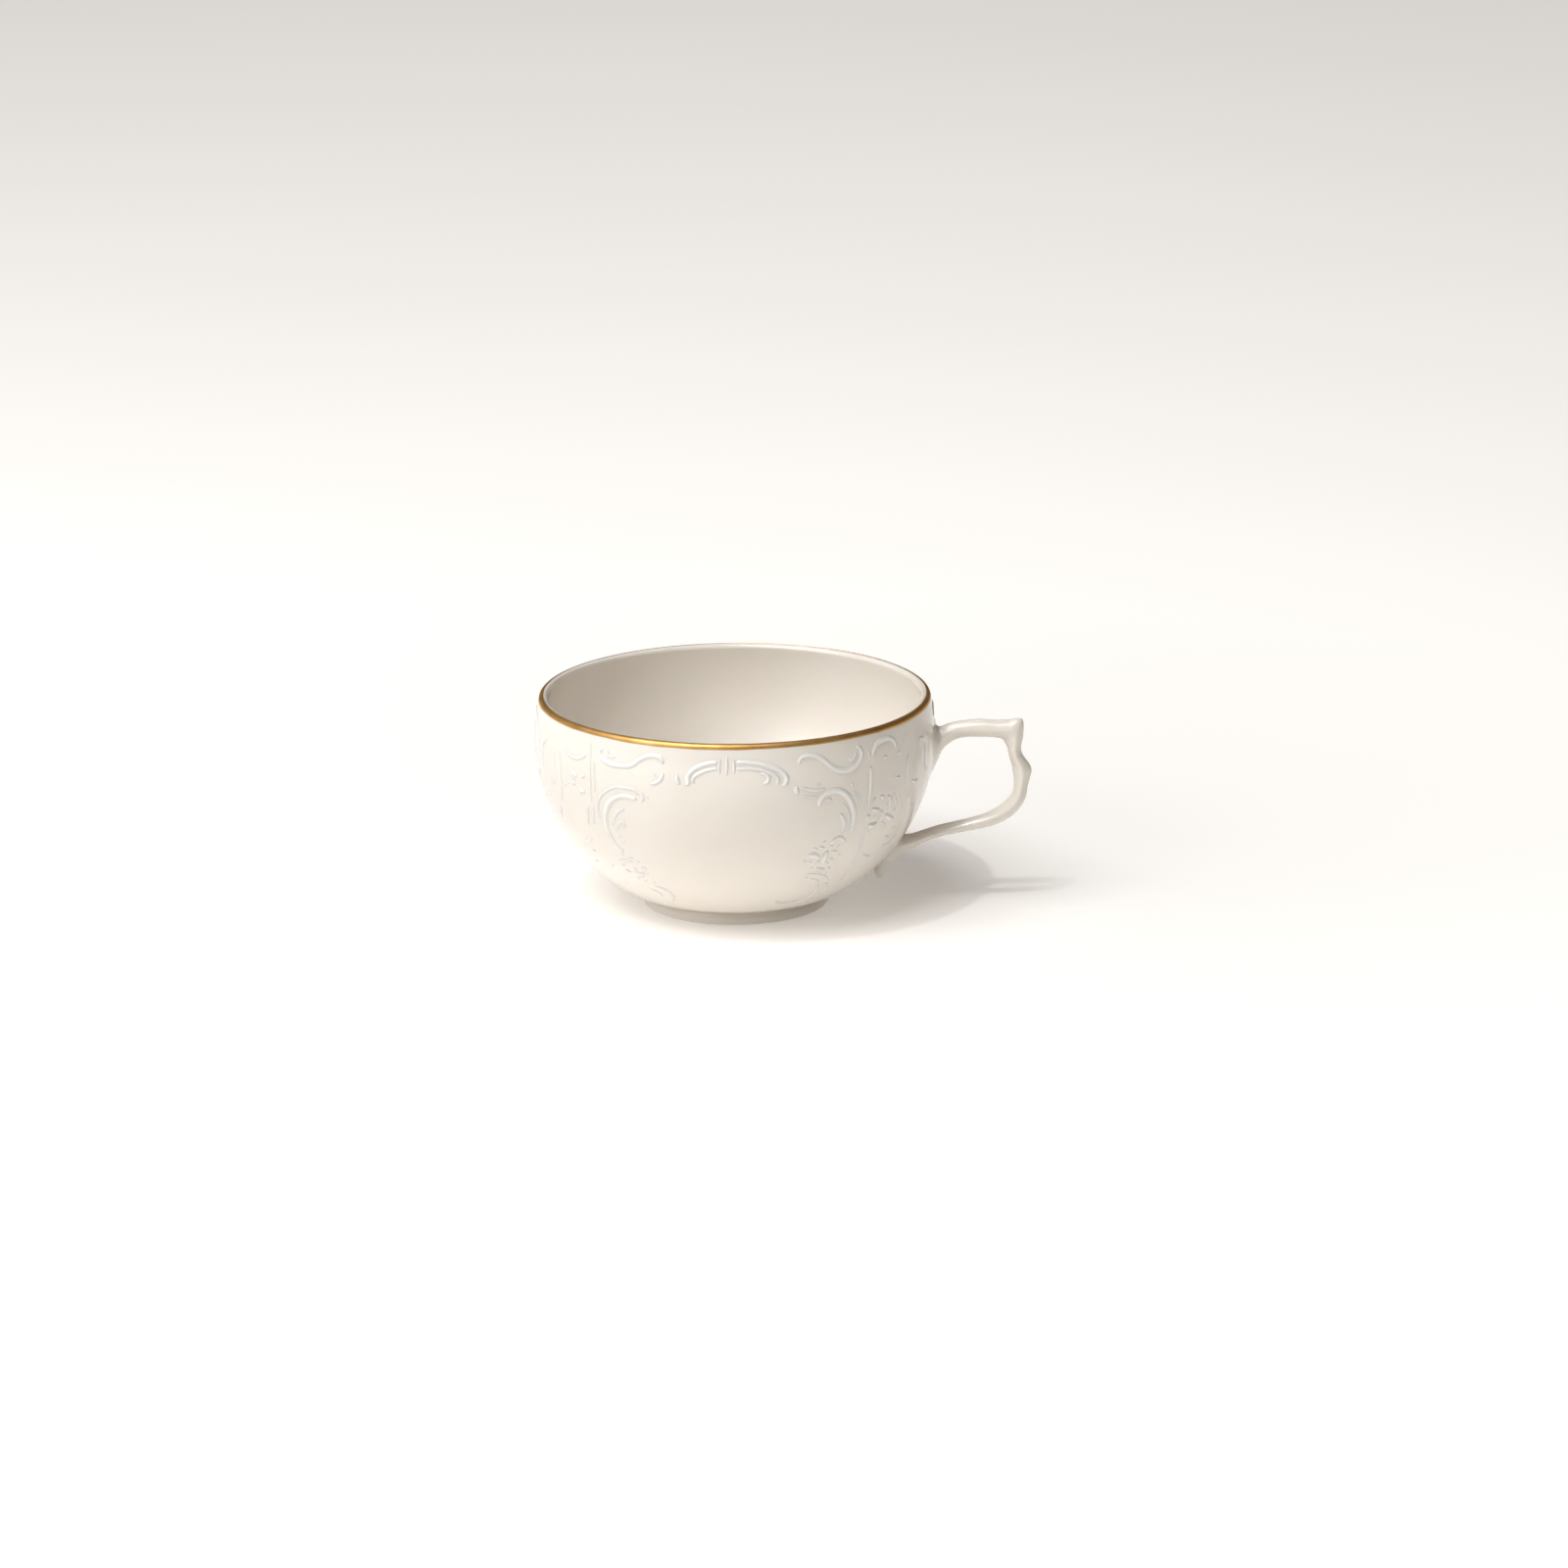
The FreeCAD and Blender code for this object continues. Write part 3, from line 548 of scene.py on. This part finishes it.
FLOWERS = [
    (0.72, [(22.8, 32.6), (25.0, 32.2), (27.2, 30.9)]),
    (0.74, [(29.5, 33.2), (29.1, 30.8), (28.7, 28.4)]),
    (0.60, [(27.3, 27.3), (28.8, 26.4), (30.8, 26.1)]),
    (0.52, [(25.8, 34.9), (28.2, 34.1)]),
    (0.50, [(30.8, 32.7), (33.2, 32.2)]),
    (0.50, [(26.2, 28.6), (27.6, 30.0)]),
    (0.72, [(28.1, 32.2), (28.5, 31.4)]),
    (0.46, [(24.2, 34.9), (25.8, 33.7)]),
    (0.46, [(31.4, 30.4), (33.0, 29.0)]),
    (0.44, [(21.6, 31.0), (22.8, 30.1)]),
    (0.42, [(23.6, 30.4), (24.8, 29.6)]),
    (0.40, [(24.8, 27.3), (26.0, 27.9)]),
    (0.44, [(30.2, 29.4), (31.4, 28.0)]),
    (0.42, [(32.2, 34.4), (33.8, 34.0)]),
    (0.40, [(26.8, 36.0), (28.0, 36.6)]),
    (0.44, [(25.2, 31.0), (26.4, 31.5)]),
    (0.40, [(29.8, 34.7), (31.2, 34.3)]),
    (0.40, [(31.8, 27.0), (33.2, 26.0)]),
    (0.38, [(28.2, 24.5), (29.4, 25.4)]),
    (0.38, [(31.6, 23.6), (32.6, 24.8)]),
    (0.38, [(33.8, 31.4), (35.2, 30.4)]),
    (0.36, [(24.6, 24.2), (25.6, 23.2)]),
    (0.36, [(30.0, 21.2), (31.4, 20.4)]),
    (0.40, [(49.0, 44.2), (49.8, 42.8)]),
    (0.38, [(53.2, 41.4), (54.6, 40.4)]),
    (0.38, [(45.6, 37.4), (47.0, 36.6)]),
    (0.36, [(43.6, 36.8), (44.6, 35.8)]),
    (0.42, [(-35.0, 26.0), (-36.6, 26.6)]),
    (0.40, [(-32.4, 29.0), (-34.0, 29.6)]),
    (0.40, [(-39.8, 26.2), (-41.4, 26.6)]),
    (0.40, [(-31.0, 25.0), (-32.2, 24.4)]),
    (0.38, [(-37.8, 30.4), (-39.0, 31.4)]),
    (0.38, [(-33.8, 21.6), (-35.0, 20.8)]),
    (0.38, [(-30.0, 21.4), (-31.2, 20.6)]),
    (0.82, [(42.3, 42.2), (42.1, 40.2)]),
    (0.60, [(42.9, 44.8), (44.1, 46.6)]),
    (0.54, [(46.0, 46.8), (48.0, 45.2)]),
    (0.50, [(43.0, 43.6), (45.0, 42.8), (47.0, 42.5)]),
    (0.50, [(47.5, 42.4), (48.0, 40.8), (46.9, 39.3)]),
    (0.74, [(43.1, 38.9), (44.9, 38.1), (46.7, 38.8)]),
    (0.54, [(44.6, 41.3), (45.2, 40.7)]),
    (0.56, [(49.5, 46.2), (51.0, 43.6), (51.4, 40.4)]),
    (0.46, [(52.1, 46.2), (53.4, 43.7), (55.0, 41.6)]),
    (0.56, [(49.8, 40.5), (52.3, 39.0), (54.9, 38.0)]),
    (0.36, [(48.8, 38.6), (51.8, 36.8)]),
    (0.80, [(-30.9, 27.2), (-33.1, 26.6)]),
    (0.70, [(-37.2, 24.8), (-35.0, 23.9), (-32.8, 24.8)]),
    (0.60, [(-41.0, 24.7), (-38.6, 24.2)]),
    (0.44, [(-42.4, 27.5), (-39.0, 28.5), (-35.4, 28.7)]),
    (0.50, [(-34.6, 30.2), (-37.0, 29.8)]),
    (0.46, [(-36.2, 22.6), (-38.0, 21.2)]),
    (0.62, [(-54.2, 51.6), (-52.8, 52.2), (-51.2, 51.2)]),
    (0.60, [(-54.0, 50.0), (-52.4, 48.9)]),
    (0.60, [(-49.6, 52.0), (-47.6, 52.4)]),
    (0.60, [(-56.8, 49.0), (-55.0, 49.4)]),
    (0.62, [(-50.6, 46.9), (-49.4, 48.2), (-48.0, 47.8)]),
    (0.50, [(-58.6, 47.4), (-56.8, 48.4)]),
    (0.50, [(-52.8, 50.6), (-51.8, 50.2)]),
]
# How far the whole drawing is turned round the cup, in degrees, and moved up the wall.
PLAN_TURN = 1.3
PLAN_RISE = 0.9
# How much of its width a stroke loses at its ends, and how much broader than drawn the ridges are.
SWELL = 0.30
BREADTH = 1.3
FLOWER_BREADTH = 1.75
# Edges of the ridges sharper than this, in degrees, stay crisp.
CRISP_ANGLE = 70


def add_node(tree, kind, **settings):
    node = tree.nodes.new(kind)
    for name, value in settings.items():
        setattr(node, name, value)
    return node


def math_node(tree, operation, *values):
    """A Math node whose inputs are sockets or numbers."""
    node = add_node(tree, "ShaderNodeMath", operation=operation)
    for socket, value in zip(node.inputs, values):
        if isinstance(value, (int, float)):
            socket.default_value = value
        else:
            tree.links.new(value, socket)
    return node.outputs[0]


def raised_ornament_tree():
    """Geometry nodes that turn flat strokes into rounded ridges and wrap them onto a turned wall.

    Flat strokes lie in XY: X is the way round at the plan's radius, Y the way up the wall. Each
    ridge has a bell section that leaves the wall smoothly, and its ends are rounded off."""
    tree = bpy.data.node_groups.new("raised_ornament", "GeometryNodeTree")
    face = tree.interface
    face.new_socket("Geometry", in_out="INPUT", socket_type="NodeSocketGeometry")
    face.new_socket("Wall outline", in_out="INPUT", socket_type="NodeSocketObject")
    for label, value in (
        ("Plan radius", 0.052),
        ("Spacing", 0.0004),
        ("Height per half width", 0.42),
        ("Sunk", 0.00003),
        ("End rounding", 0.0009),
        ("Least radius", 0.00005),
        ("Full height", 0.00038),
    ):
        face.new_socket(label, in_out="INPUT", socket_type="NodeSocketFloat").default_value = value
    face.new_socket("Finish", in_out="INPUT", socket_type="NodeSocketMaterial")
    face.new_socket("Geometry", in_out="OUTPUT", socket_type="NodeSocketGeometry")
    link = tree.links.new
    given = add_node(tree, "NodeGroupInput").outputs
    result = add_node(tree, "NodeGroupOutput")

    smooth = add_node(tree, "GeometryNodeCurveSplineType", spline_type="CATMULL_ROM")
    link(given["Geometry"], smooth.inputs["Curve"])
    stepped = add_node(tree, "GeometryNodeResampleCurve", mode="LENGTH")
    link(smooth.outputs[0], stepped.inputs["Curve"])
    link(given["Spacing"], stepped.inputs["Length"])
    upright = add_node(tree, "GeometryNodeSetCurveNormal", mode="Z_UP")
    link(stepped.outputs[0], upright.inputs["Curve"])

    # The ridge's size along the stroke: its own half width, rounded off towards both ends.
    travelled = add_node(tree, "GeometryNodeSplineParameter").outputs["Length"]
    whole = add_node(tree, "GeometryNodeSplineLength").outputs["Length"]
    to_end = math_node(tree, "MINIMUM", travelled, math_node(tree, "SUBTRACT", whole, travelled))
    part = math_node(tree, "MINIMUM", math_node(tree, "DIVIDE", to_end, given["End rounding"]), 1.0)
    rest = math_node(tree, "SUBTRACT", 2.0, part)
    rounded = math_node(tree, "SQRT", math_node(tree, "MULTIPLY", part, rest))
    own = add_node(tree, "GeometryNodeInputRadius").outputs[0]
    wanted = math_node(tree, "MULTIPLY", own, rounded)
    size = math_node(tree, "MAXIMUM", wanted, given["Least radius"])

    # The bell section, one unit to each side.
    across = add_node(tree, "GeometryNodeCurvePrimitiveLine")
    across.inputs["Start"].default_value = (-1, 0, 0)
    across.inputs["End"].default_value = (1, 0, 0)
    cut = add_node(tree, "GeometryNodeResampleCurve", mode="COUNT")
    cut.inputs["Count"].default_value = RIDGE_POINTS
    link(across.outputs[0], cut.inputs["Curve"])
    spot = add_node(tree, "ShaderNodeSeparateXYZ")
    link(add_node(tree, "GeometryNodeInputPosition").outputs[0], spot.inputs[0])
    wave = math_node(tree, "COSINE", math_node(tree, "MULTIPLY", spot.outputs["X"], math.pi))
    bell = math_node(tree, "MULTIPLY", math_node(tree, "ADD", wave, 1.0), 0.5)
    outwards = math_node(tree, "MULTIPLY", given["Height per half width"], -1.0)
    lift = math_node(tree, "MULTIPLY", bell, outwards)
    lifted = add_node(tree, "ShaderNodeCombineXYZ")
    link(spot.outputs["X"], lifted.inputs["X"])
    link(lift, lifted.inputs["Y"])
    bent = add_node(tree, "GeometryNodeSetPosition")
    link(cut.outputs[0], bent.inputs["Geometry"])
    link(lifted.outputs[0], bent.inputs["Position"])
    closed = add_node(tree, "GeometryNodeSetSplineCyclic")
    closed.inputs["Cyclic"].default_value = True
    link(bent.outputs[0], closed.inputs["Geometry"])

    ridge = add_node(tree, "GeometryNodeCurveToMesh")
    ridge.inputs["Fill Caps"].default_value = True
    link(upright.outputs[0], ridge.inputs["Curve"])
    link(closed.outputs[0], ridge.inputs["Profile Curve"])
    link(size, ridge.inputs["Scale"])

    # Wrapping: the wall's outline gives the radius, the height and the slope at each way up.
    outline = add_node(tree, "GeometryNodeObjectInfo", transform_space="ORIGINAL")
    link(given["Wall outline"], outline.inputs["Object"])
    flat = add_node(tree, "ShaderNodeSeparateXYZ")
    link(add_node(tree, "GeometryNodeInputPosition").outputs[0], flat.inputs[0])
    wall = add_node(tree, "GeometryNodeSampleCurve", mode="LENGTH")
    link(outline.outputs["Geometry"], wall.inputs["Curves"])
    link(flat.outputs["Y"], wall.inputs["Length"])
    where = add_node(tree, "ShaderNodeSeparateXYZ")
    link(wall.outputs["Position"], where.inputs[0])
    slope = add_node(tree, "ShaderNodeSeparateXYZ")
    link(wall.outputs["Tangent"], slope.inputs[0])
    proud = math_node(tree, "SUBTRACT", flat.outputs["Z"], given["Sunk"])
    proud_out = math_node(tree, "MULTIPLY", proud, slope.outputs["Z"])
    proud_down = math_node(tree, "MULTIPLY", proud, slope.outputs["X"])
    reach = math_node(tree, "ADD", where.outputs["X"], proud_out)
    height = math_node(tree, "SUBTRACT", where.outputs["Z"], proud_down)
    angle = math_node(tree, "DIVIDE", flat.outputs["X"], given["Plan radius"])
    wrapped = add_node(tree, "ShaderNodeCombineXYZ")
    link(math_node(tree, "MULTIPLY", reach, math_node(tree, "SINE", angle)), wrapped.inputs["X"])
    back = math_node(tree, "MULTIPLY", reach, math_node(tree, "COSINE", angle))
    link(math_node(tree, "MULTIPLY", back, -1.0), wrapped.inputs["Y"])
    link(height, wrapped.inputs["Z"])
    noted = add_node(tree, "GeometryNodeStoreNamedAttribute", data_type="FLOAT", domain="POINT")
    noted.inputs["Name"].default_value = "relief"
    link(ridge.outputs[0], noted.inputs["Geometry"])
    link(math_node(tree, "DIVIDE", flat.outputs["Z"], given["Full height"]), noted.inputs["Value"])
    front = add_node(tree, "GeometryNodeSetPosition")
    link(noted.outputs[0], front.inputs["Geometry"])
    link(wrapped.outputs[0], front.inputs["Position"])

    # The same ornament again, half a turn round.
    again = add_node(tree, "GeometryNodeTransform")
    again.inputs["Rotation"].default_value = (0, 0, math.pi)
    link(front.outputs[0], again.inputs["Geometry"])
    both = add_node(tree, "GeometryNodeJoinGeometry")
    link(again.outputs[0], both.inputs[0])
    link(front.outputs[0], both.inputs[0])
    real = add_node(tree, "GeometryNodeRealizeInstances")
    link(both.outputs[0], real.inputs[0])
    finish = add_node(tree, "GeometryNodeSetMaterial")
    link(real.outputs[0], finish.inputs["Geometry"])
    link(given["Finish"], finish.inputs["Material"])
    link(finish.outputs[0], result.inputs[0])
    return tree


def make_wall_outline():
    """The bowl's outside as a curve in XZ for the ornament to be wrapped on, which isn't a piece."""
    count = 240
    data = bpy.data.curves.new("wall_outline", "CURVE")
    data.dimensions = "3D"
    spline = data.splines.new("POLY")
    spline.points.add(count - 1)
    for point, travelled in zip(spline.points, np.linspace(0, SHAPE.length, count)):
        radius, height = SHAPE.at(travelled)
        point.co = (radius * MM, 0, height * MM, 1)
    outline = bpy.data.objects.new("wall_outline", data)
    bpy.context.collection.objects.link(outline)
    return outline


def make_ornament(name, strokes, breadth, tree, outline):
    """One motif of the ornament, front and back, as a plain mesh."""
    data = bpy.data.curves.new(name, "CURVE")
    data.dimensions = "3D"
    flat_scale = math.radians(1) * BELLY_RADIUS
    for half_width, points in strokes:
        spline = data.splines.new("POLY")
        spline.points.add(len(points) - 1)
        for index, (point, (degrees, up)) in enumerate(zip(spline.points, points)):
            share = index / (len(points) - 1)
            fullness = 1 - SWELL + SWELL * math.sin(math.pi * share)
            point.co = ((degrees + PLAN_TURN) * flat_scale * MM, (up + PLAN_RISE) * MM, 0, 1)
            point.radius = breadth * half_width * fullness * MM
    drawn = bpy.data.objects.new(name + "_strokes", data)
    bpy.context.collection.objects.link(drawn)
    modifier = drawn.modifiers.new("raised", "NODES")
    modifier.node_group = tree
    values = {"Wall outline": outline, "Plan radius": BELLY_RADIUS * MM, "Finish": GLAZE}
    for item in tree.interface.items_tree:
        if item.item_type == "SOCKET" and item.in_out == "INPUT" and item.name in values:
            modifier[item.identifier] = values[item.name]
    bpy.context.view_layer.update()
    evaluated = drawn.evaluated_get(bpy.context.evaluated_depsgraph_get())
    mesh = bpy.data.meshes.new_from_object(evaluated)
    mesh.name = name
    bpy.data.objects.remove(drawn)
    mesh.set_sharp_from_angle(angle=math.radians(CRISP_ANGLE))
    mesh.materials.clear()
    mesh.materials.append(GLAZE)
    piece = bpy.data.objects.new(name, mesh)
    bpy.context.collection.objects.link(piece)
    return piece


# ---------------------------------------------------------------- the handle
# Sections from the bowl round to the landing. Each is: its centre as a share of the way out to the
# farthest point, and of the way up from the landing to the top; the direction of its depth, in
# degrees from level; its depth and width as shares of the limb's. The upper limb's shares start at
# the belly, and the lower limb's at the place where it lands.
UPPER_LIMB = [
    (-0.130, 0.738, 90, 2.80, 1.75),
    (-0.060, 0.742, 90, 2.74, 1.72),
    (0.008, 0.785, 92, 1.98, 1.42),
    (0.068, 0.845, 100, 1.26, 1.16),
    (0.185, 0.898, 103, 1.01, 1.00),
    (0.311, 0.918, 96, 0.97, 0.96),
    (0.471, 0.923, 90, 1.02, 0.98),
    (0.630, 0.917, 86, 1.00, 1.00),
    (0.730, 0.914, 68, 1.17, 1.02),
    (0.812, 0.902, 53, 1.60, 1.02),
    (0.832, 0.815, 38, 1.12, 0.98),
    (0.825, 0.750, 22, 0.79, 0.98),
    (0.842, 0.690, 12, 0.76, 1.00),
    (0.888, 0.625, 2, 0.97, 1.04),
    (0.904, 0.575, 0, 1.05, 1.06),
    (0.902, 0.516, 0, 0.91, 1.04),
]
LOWER_LIMB = [
    (0.9213, 0.442, -3, 0.79, 1.00),
    (0.9050, 0.367, -15, 0.83, 0.98),
    (0.8688, 0.303, -32, 0.87, 0.97),
    (0.7929, 0.229, -51, 0.89, 0.96),
    (0.6879, 0.173, -62, 0.81, 0.95),
    (0.5666, 0.137, -70, 0.73, 0.94),
    (0.4454, 0.109, -74, 0.68, 0.94),
    (0.3248, 0.079, -74, 0.66, 0.95),
    (0.2191, 0.042, -70, 0.66, 0.98),
    (0.1383, 0.007, -64, 0.76, 1.04),
]
# The landing and the spur: the centre out from the landing's own radius and down from it, both as
# shares of the spur's drop; then the direction, depth and width as above.
SPUR = [
    (0.162, 0.080, -60, 0.92, 1.12),
    (-0.020, 0.225, -53, 0.97, 1.14),
    (-0.210, 0.410, -45, 0.85, 1.04),
    (-0.350, 0.590, -34, 0.78, 0.90),
    (-0.425, 0.775, -18, 0.66, 0.74),
    (-0.446, 0.900, -6, 0.42, 0.50),
    (-0.440, 0.990, 0, 0.18, 0.24),
]


def handle_stations():
    """Rows of (x, z, direction in radians, half depth, half width) along the handle."""
    landing = SHAPE.radius_at(HANDLE_LOW)
    farthest = BELLY_RADIUS + HANDLE_REACH
    stations = []
    for table, origin in ((UPPER_LIMB, BELLY_RADIUS), (LOWER_LIMB, landing)):
        for out, up, direction, deep, wide in table:
            place = (origin + (farthest - origin) * out, HANDLE_LOW + HANDLE_RISE * up)
            stations.append((*place, direction, deep, wide))
    for out, down, direction, deep, wide in SPUR:
        place = (landing + SPUR_DROP * out, HANDLE_LOW - SPUR_DROP * down)
        stations.append((*place, direction, deep, wide))
    return np.array(
        [
            (x, z, math.radians(direction), LIMB_DEPTH * deep / 2, LIMB_WIDTH * wide / 2)
            for x, z, direction, deep, wide in stations
        ]
    )


def smooth_between(rows, steps):
    """Catmull-Rom rows between the given ones."""
    padded = np.vstack([2 * rows[0] - rows[1], rows, 2 * rows[-1] - rows[-2]])
    result = []
    for i in range(1, len(padded) - 2):
        before, here, after, beyond = padded[i - 1 : i + 3]
        for t in np.arange(steps) / steps:
            line = 2 * here + (after - before) * t
            bend = 2 * before - 5 * here + 4 * after - beyond
            twist = 3 * here - before - 3 * after + beyond
            result.append(0.5 * (line + bend * t**2 + twist * t**3))
    result.append(padded[-2])
    return np.array(result)


def flared(points, centres, around):
    """Handle points near the bowl pushed away from the handle's own middle line, so that slip fills
    the corner between the two in a hollow curve. No point ends up deeper in the wall than deepest."""
    fillet = 1.8
    deepest = 1.4
    points = np.asarray(points, float)
    out, across, up = SHAPE.clearance(np.hypot(points[:, 0], points[:, 1]), points[:, 2])
    turn = np.arctan2(points[:, 1], points[:, 0])
    normal = np.stack([across * np.cos(turn), across * np.sin(turn), up], axis=1)
    middle = np.repeat(np.asarray(centres, float), around, axis=0)
    away = points - middle
    away -= normal * np.sum(away * normal, axis=1, keepdims=True)
    away /= np.maximum(np.linalg.norm(away, axis=1, keepdims=True), NOTHING)
    level = np.clip(out, 0, fillet)
    push = fillet - np.sqrt(fillet**2 - (fillet - level) ** 2)
    points = points + away * push[:, None]
    sunk = np.clip(-out - deepest, 0, None)
    return points + normal * sunk[:, None]


def make_handle():
    """The scroll handle: soft-edged sections along the scroll, flared where slip joins the bowl."""
    rows = smooth_between(handle_stations(), HANDLE_STEPS)
    around = HANDLE_SEGMENTS
    softness = 1.55
    points, faces = [], []
    for x, z, direction, deep, wide in rows:
        for k in range(around):
            turn = 2 * math.pi * k / around
            c, s = math.cos(turn), math.sin(turn)
            d = deep * math.copysign(abs(c) ** (2 / softness), c)
            w = wide * math.copysign(abs(s) ** (2 / softness), s)
            points.append((x + d * math.cos(direction), w, z + d * math.sin(direction)))
    points = flared(points, [(x, 0, z) for x, z, *_ in rows], around)
    count = len(rows)
    for i in range(count - 1):
        for k in range(around):
            n = (k + 1) % around
            here, after = i * around, (i + 1) * around
            faces.append((here + n, here + k, after + k, after + n))
    faces.append(tuple(range(around)))
    faces.append(tuple((count - 1) * around + k for k in range(around))[::-1])
    return mesh_object("handle_porcelain", points, faces, [GLAZE])


bowl = make_bowl()
foot = make_foot_ring()
gold = make_gold_line()
handle = make_handle()
raised_ornament = raised_ornament_tree()
wall_outline = make_wall_outline()
ornament = [
    make_ornament(name, strokes, breadth, raised_ornament, wall_outline)
    for name, strokes, breadth in (
        ("cartouche_top", CARTOUCHE_TOP, BREADTH),
        ("cartouche_right", CARTOUCHE_RIGHT, BREADTH),
        ("cartouche_left", CARTOUCHE_LEFT, BREADTH),
        ("rim_and_side_scrolls", SCROLLS, BREADTH),
        ("panel_ribs", RIBS, BREADTH),
        ("flower_sprays", FLOWERS, FLOWER_BREADTH),
    )
]
bpy.data.objects.remove(wall_outline)

for piece, node, finish in (
    (bowl, "bowl", "glazed_porcelain"),
    (foot, "foot_ring", "glazed_porcelain"),
    (gold, "rim_gilding", "gold"),
    (handle, "handle", "glazed_porcelain"),
):
    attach(piece, "root")
    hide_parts(node)

for piece in ornament:
    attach(piece, "root")

for node in ("upper_slip_joint", "lower_slip_joint"):
    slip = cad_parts[node]
    for slot in slip.material_slots:
        slot.material = GLAZE


# ---------------------------------------------------------------- floor, light and camera
def make_floor():
    mesh = bpy.data.meshes.new("table_top")
    side = 12.0
    corners = [(-side, -side, 0), (side, -side, 0), (side, side, 0), (-side, side, 0)]
    mesh.from_pydata(corners, [], [(0, 1, 2, 3)])
    floor = bpy.data.objects.new("table_top", mesh)
    bpy.context.collection.objects.link(floor)
    material, tree, shader = new_material("white_sweep")
    shade = ramp(
        tree,
        noise(tree, place_of(tree), 1.5, 2.0),
        [(0.3, (0.91, 0.885, 0.85)), (0.7, (0.94, 0.915, 0.88))],
    )
    tree.links.new(shade, shader.inputs["Base Color"])
    shader.inputs["Roughness"].default_value = 0.9
    shader.inputs["Specular IOR Level"].default_value = 0.1
    # Painted light: the table top glows though it is no lamp, dimmer near the cup and a little brighter
    # away from it, so it stays white all over.
    away = tree.nodes.new("ShaderNodeVectorMath")
    away.operation = "LENGTH"
    tree.links.new(place_of(tree), away.inputs[0])
    # Painted glow: emission strength grows with distance from the cup.
    painted_glow = spread(tree, away.outputs["Value"], 0.26, 0.43, source=(0.06, 0.32))
    tree.links.new(shade, shader.inputs["Emission Color"])
    tree.links.new(painted_glow, shader.inputs["Emission Strength"])
    mesh.materials.append(material)


def lamp(name, kind, place, aim, power):
    """A lamp at a place, turned to face its aim."""
    light = bpy.data.lights.new(name, kind)
    light.energy = power
    obj = bpy.data.objects.new(name, light)
    bpy.context.collection.objects.link(obj)
    obj.location = place
    obj.rotation_euler = (Vector(aim) - Vector(place)).to_track_quat("-Z", "Y").to_euler()
    return light


def softbox(name, place, aim, size, power, colour=(1, 1, 1)):
    light = lamp(name, "AREA", place, aim, power)
    light.shape = "RECTANGLE"
    light.size, light.size_y = size
    light.color = colour


def mouth_light(place, aim, radius, cone, power):
    """A narrow lamp that shines into the bowl only."""
    light = lamp("mouth_light", "SPOT", place, aim, power)
    light.spot_size = cone
    light.spot_blend = 0.7
    light.shadow_soft_size = radius


def make_world():
    world = bpy.data.worlds.new("studio")
    bpy.context.scene.world = world
    world.use_nodes = True
    tree = world.node_tree
    tree.nodes.clear()
    out = tree.nodes.new("ShaderNodeOutputWorld")
    sky = tree.nodes.new("ShaderNodeBackground")
    looking = tree.nodes.new("ShaderNodeTexCoord")
    parts = tree.nodes.new("ShaderNodeSeparateXYZ")
    tree.links.new(looking.outputs["Generated"], parts.inputs[0])
    # Light walls at the left, a darker room at the right, and a dark gap behind.
    across = ramp(
        tree,
        spread(tree, parts.outputs["X"], 0.0, 1.0, source=(-1.0, 1.0)),
        [
            (0.0, (0.50, 0.50, 0.51)),
            (0.45, (0.14, 0.13, 0.125)),
            (0.75, (0.06, 0.05, 0.04)),
            (1.0, (0.05, 0.04, 0.03)),
        ],
    )
    behind = spread(tree, parts.outputs["Y"], 0.0, 1.0, source=(0.52, 0.72))
    gap = tree.nodes.new("ShaderNodeMix")
    gap.data_type = "RGBA"
    tree.links.new(behind, gap.inputs["Factor"])
    tree.links.new(across, gap.inputs["A"])
    gap.inputs["B"].default_value = (0.11, 0.075, 0.05, 1)
    tree.links.new(gap.outputs["Result"], sky.inputs["Color"])
    sky.inputs["Strength"].default_value = 0.75
    tree.links.new(sky.outputs[0], out.inputs["Surface"])


def make_camera():
    pitch = math.radians(16.05)
    swing = math.radians(1.3)
    roll = math.radians(-0.48)
    distance = 2.0
    aim = Vector((0, 0, 0.027))
    level = math.cos(pitch)
    away = Vector((math.sin(swing) * level, -math.cos(swing) * level, math.sin(pitch)))
    data = bpy.data.cameras.new("camera")
    data.sensor_width = 36.0
    data.lens = 175.6
    data.shift_x = 0.0309
    data.shift_y = 0.0101
    data.clip_end = 50
    camera = bpy.data.objects.new("camera", data)
    bpy.context.collection.objects.link(camera)
    camera.location = aim + away * distance
    facing = (-away).to_track_quat("-Z", "Y").to_matrix().to_4x4()
    camera.rotation_euler = (facing @ Matrix.Rotation(roll, 4, "Z")).to_euler()
    bpy.context.scene.camera = camera


make_floor()
make_world()
softbox("key_left", (-1.0, -0.84, 1.0), (0, 0, 0.03), (1.2, 1.2), 9.0, (0.98, 0.99, 1.03))
softbox("top_front", (-0.45, -0.45, 1.4), (0, 0, 0.0), (1.2, 1.0), 17)
mouth_light((-0.35, -0.45, 1.3), (0, 0, 0.05), 0.05, math.radians(4.6), 36)
make_camera()
bpy.context.scene.view_settings.view_transform = "Standard"
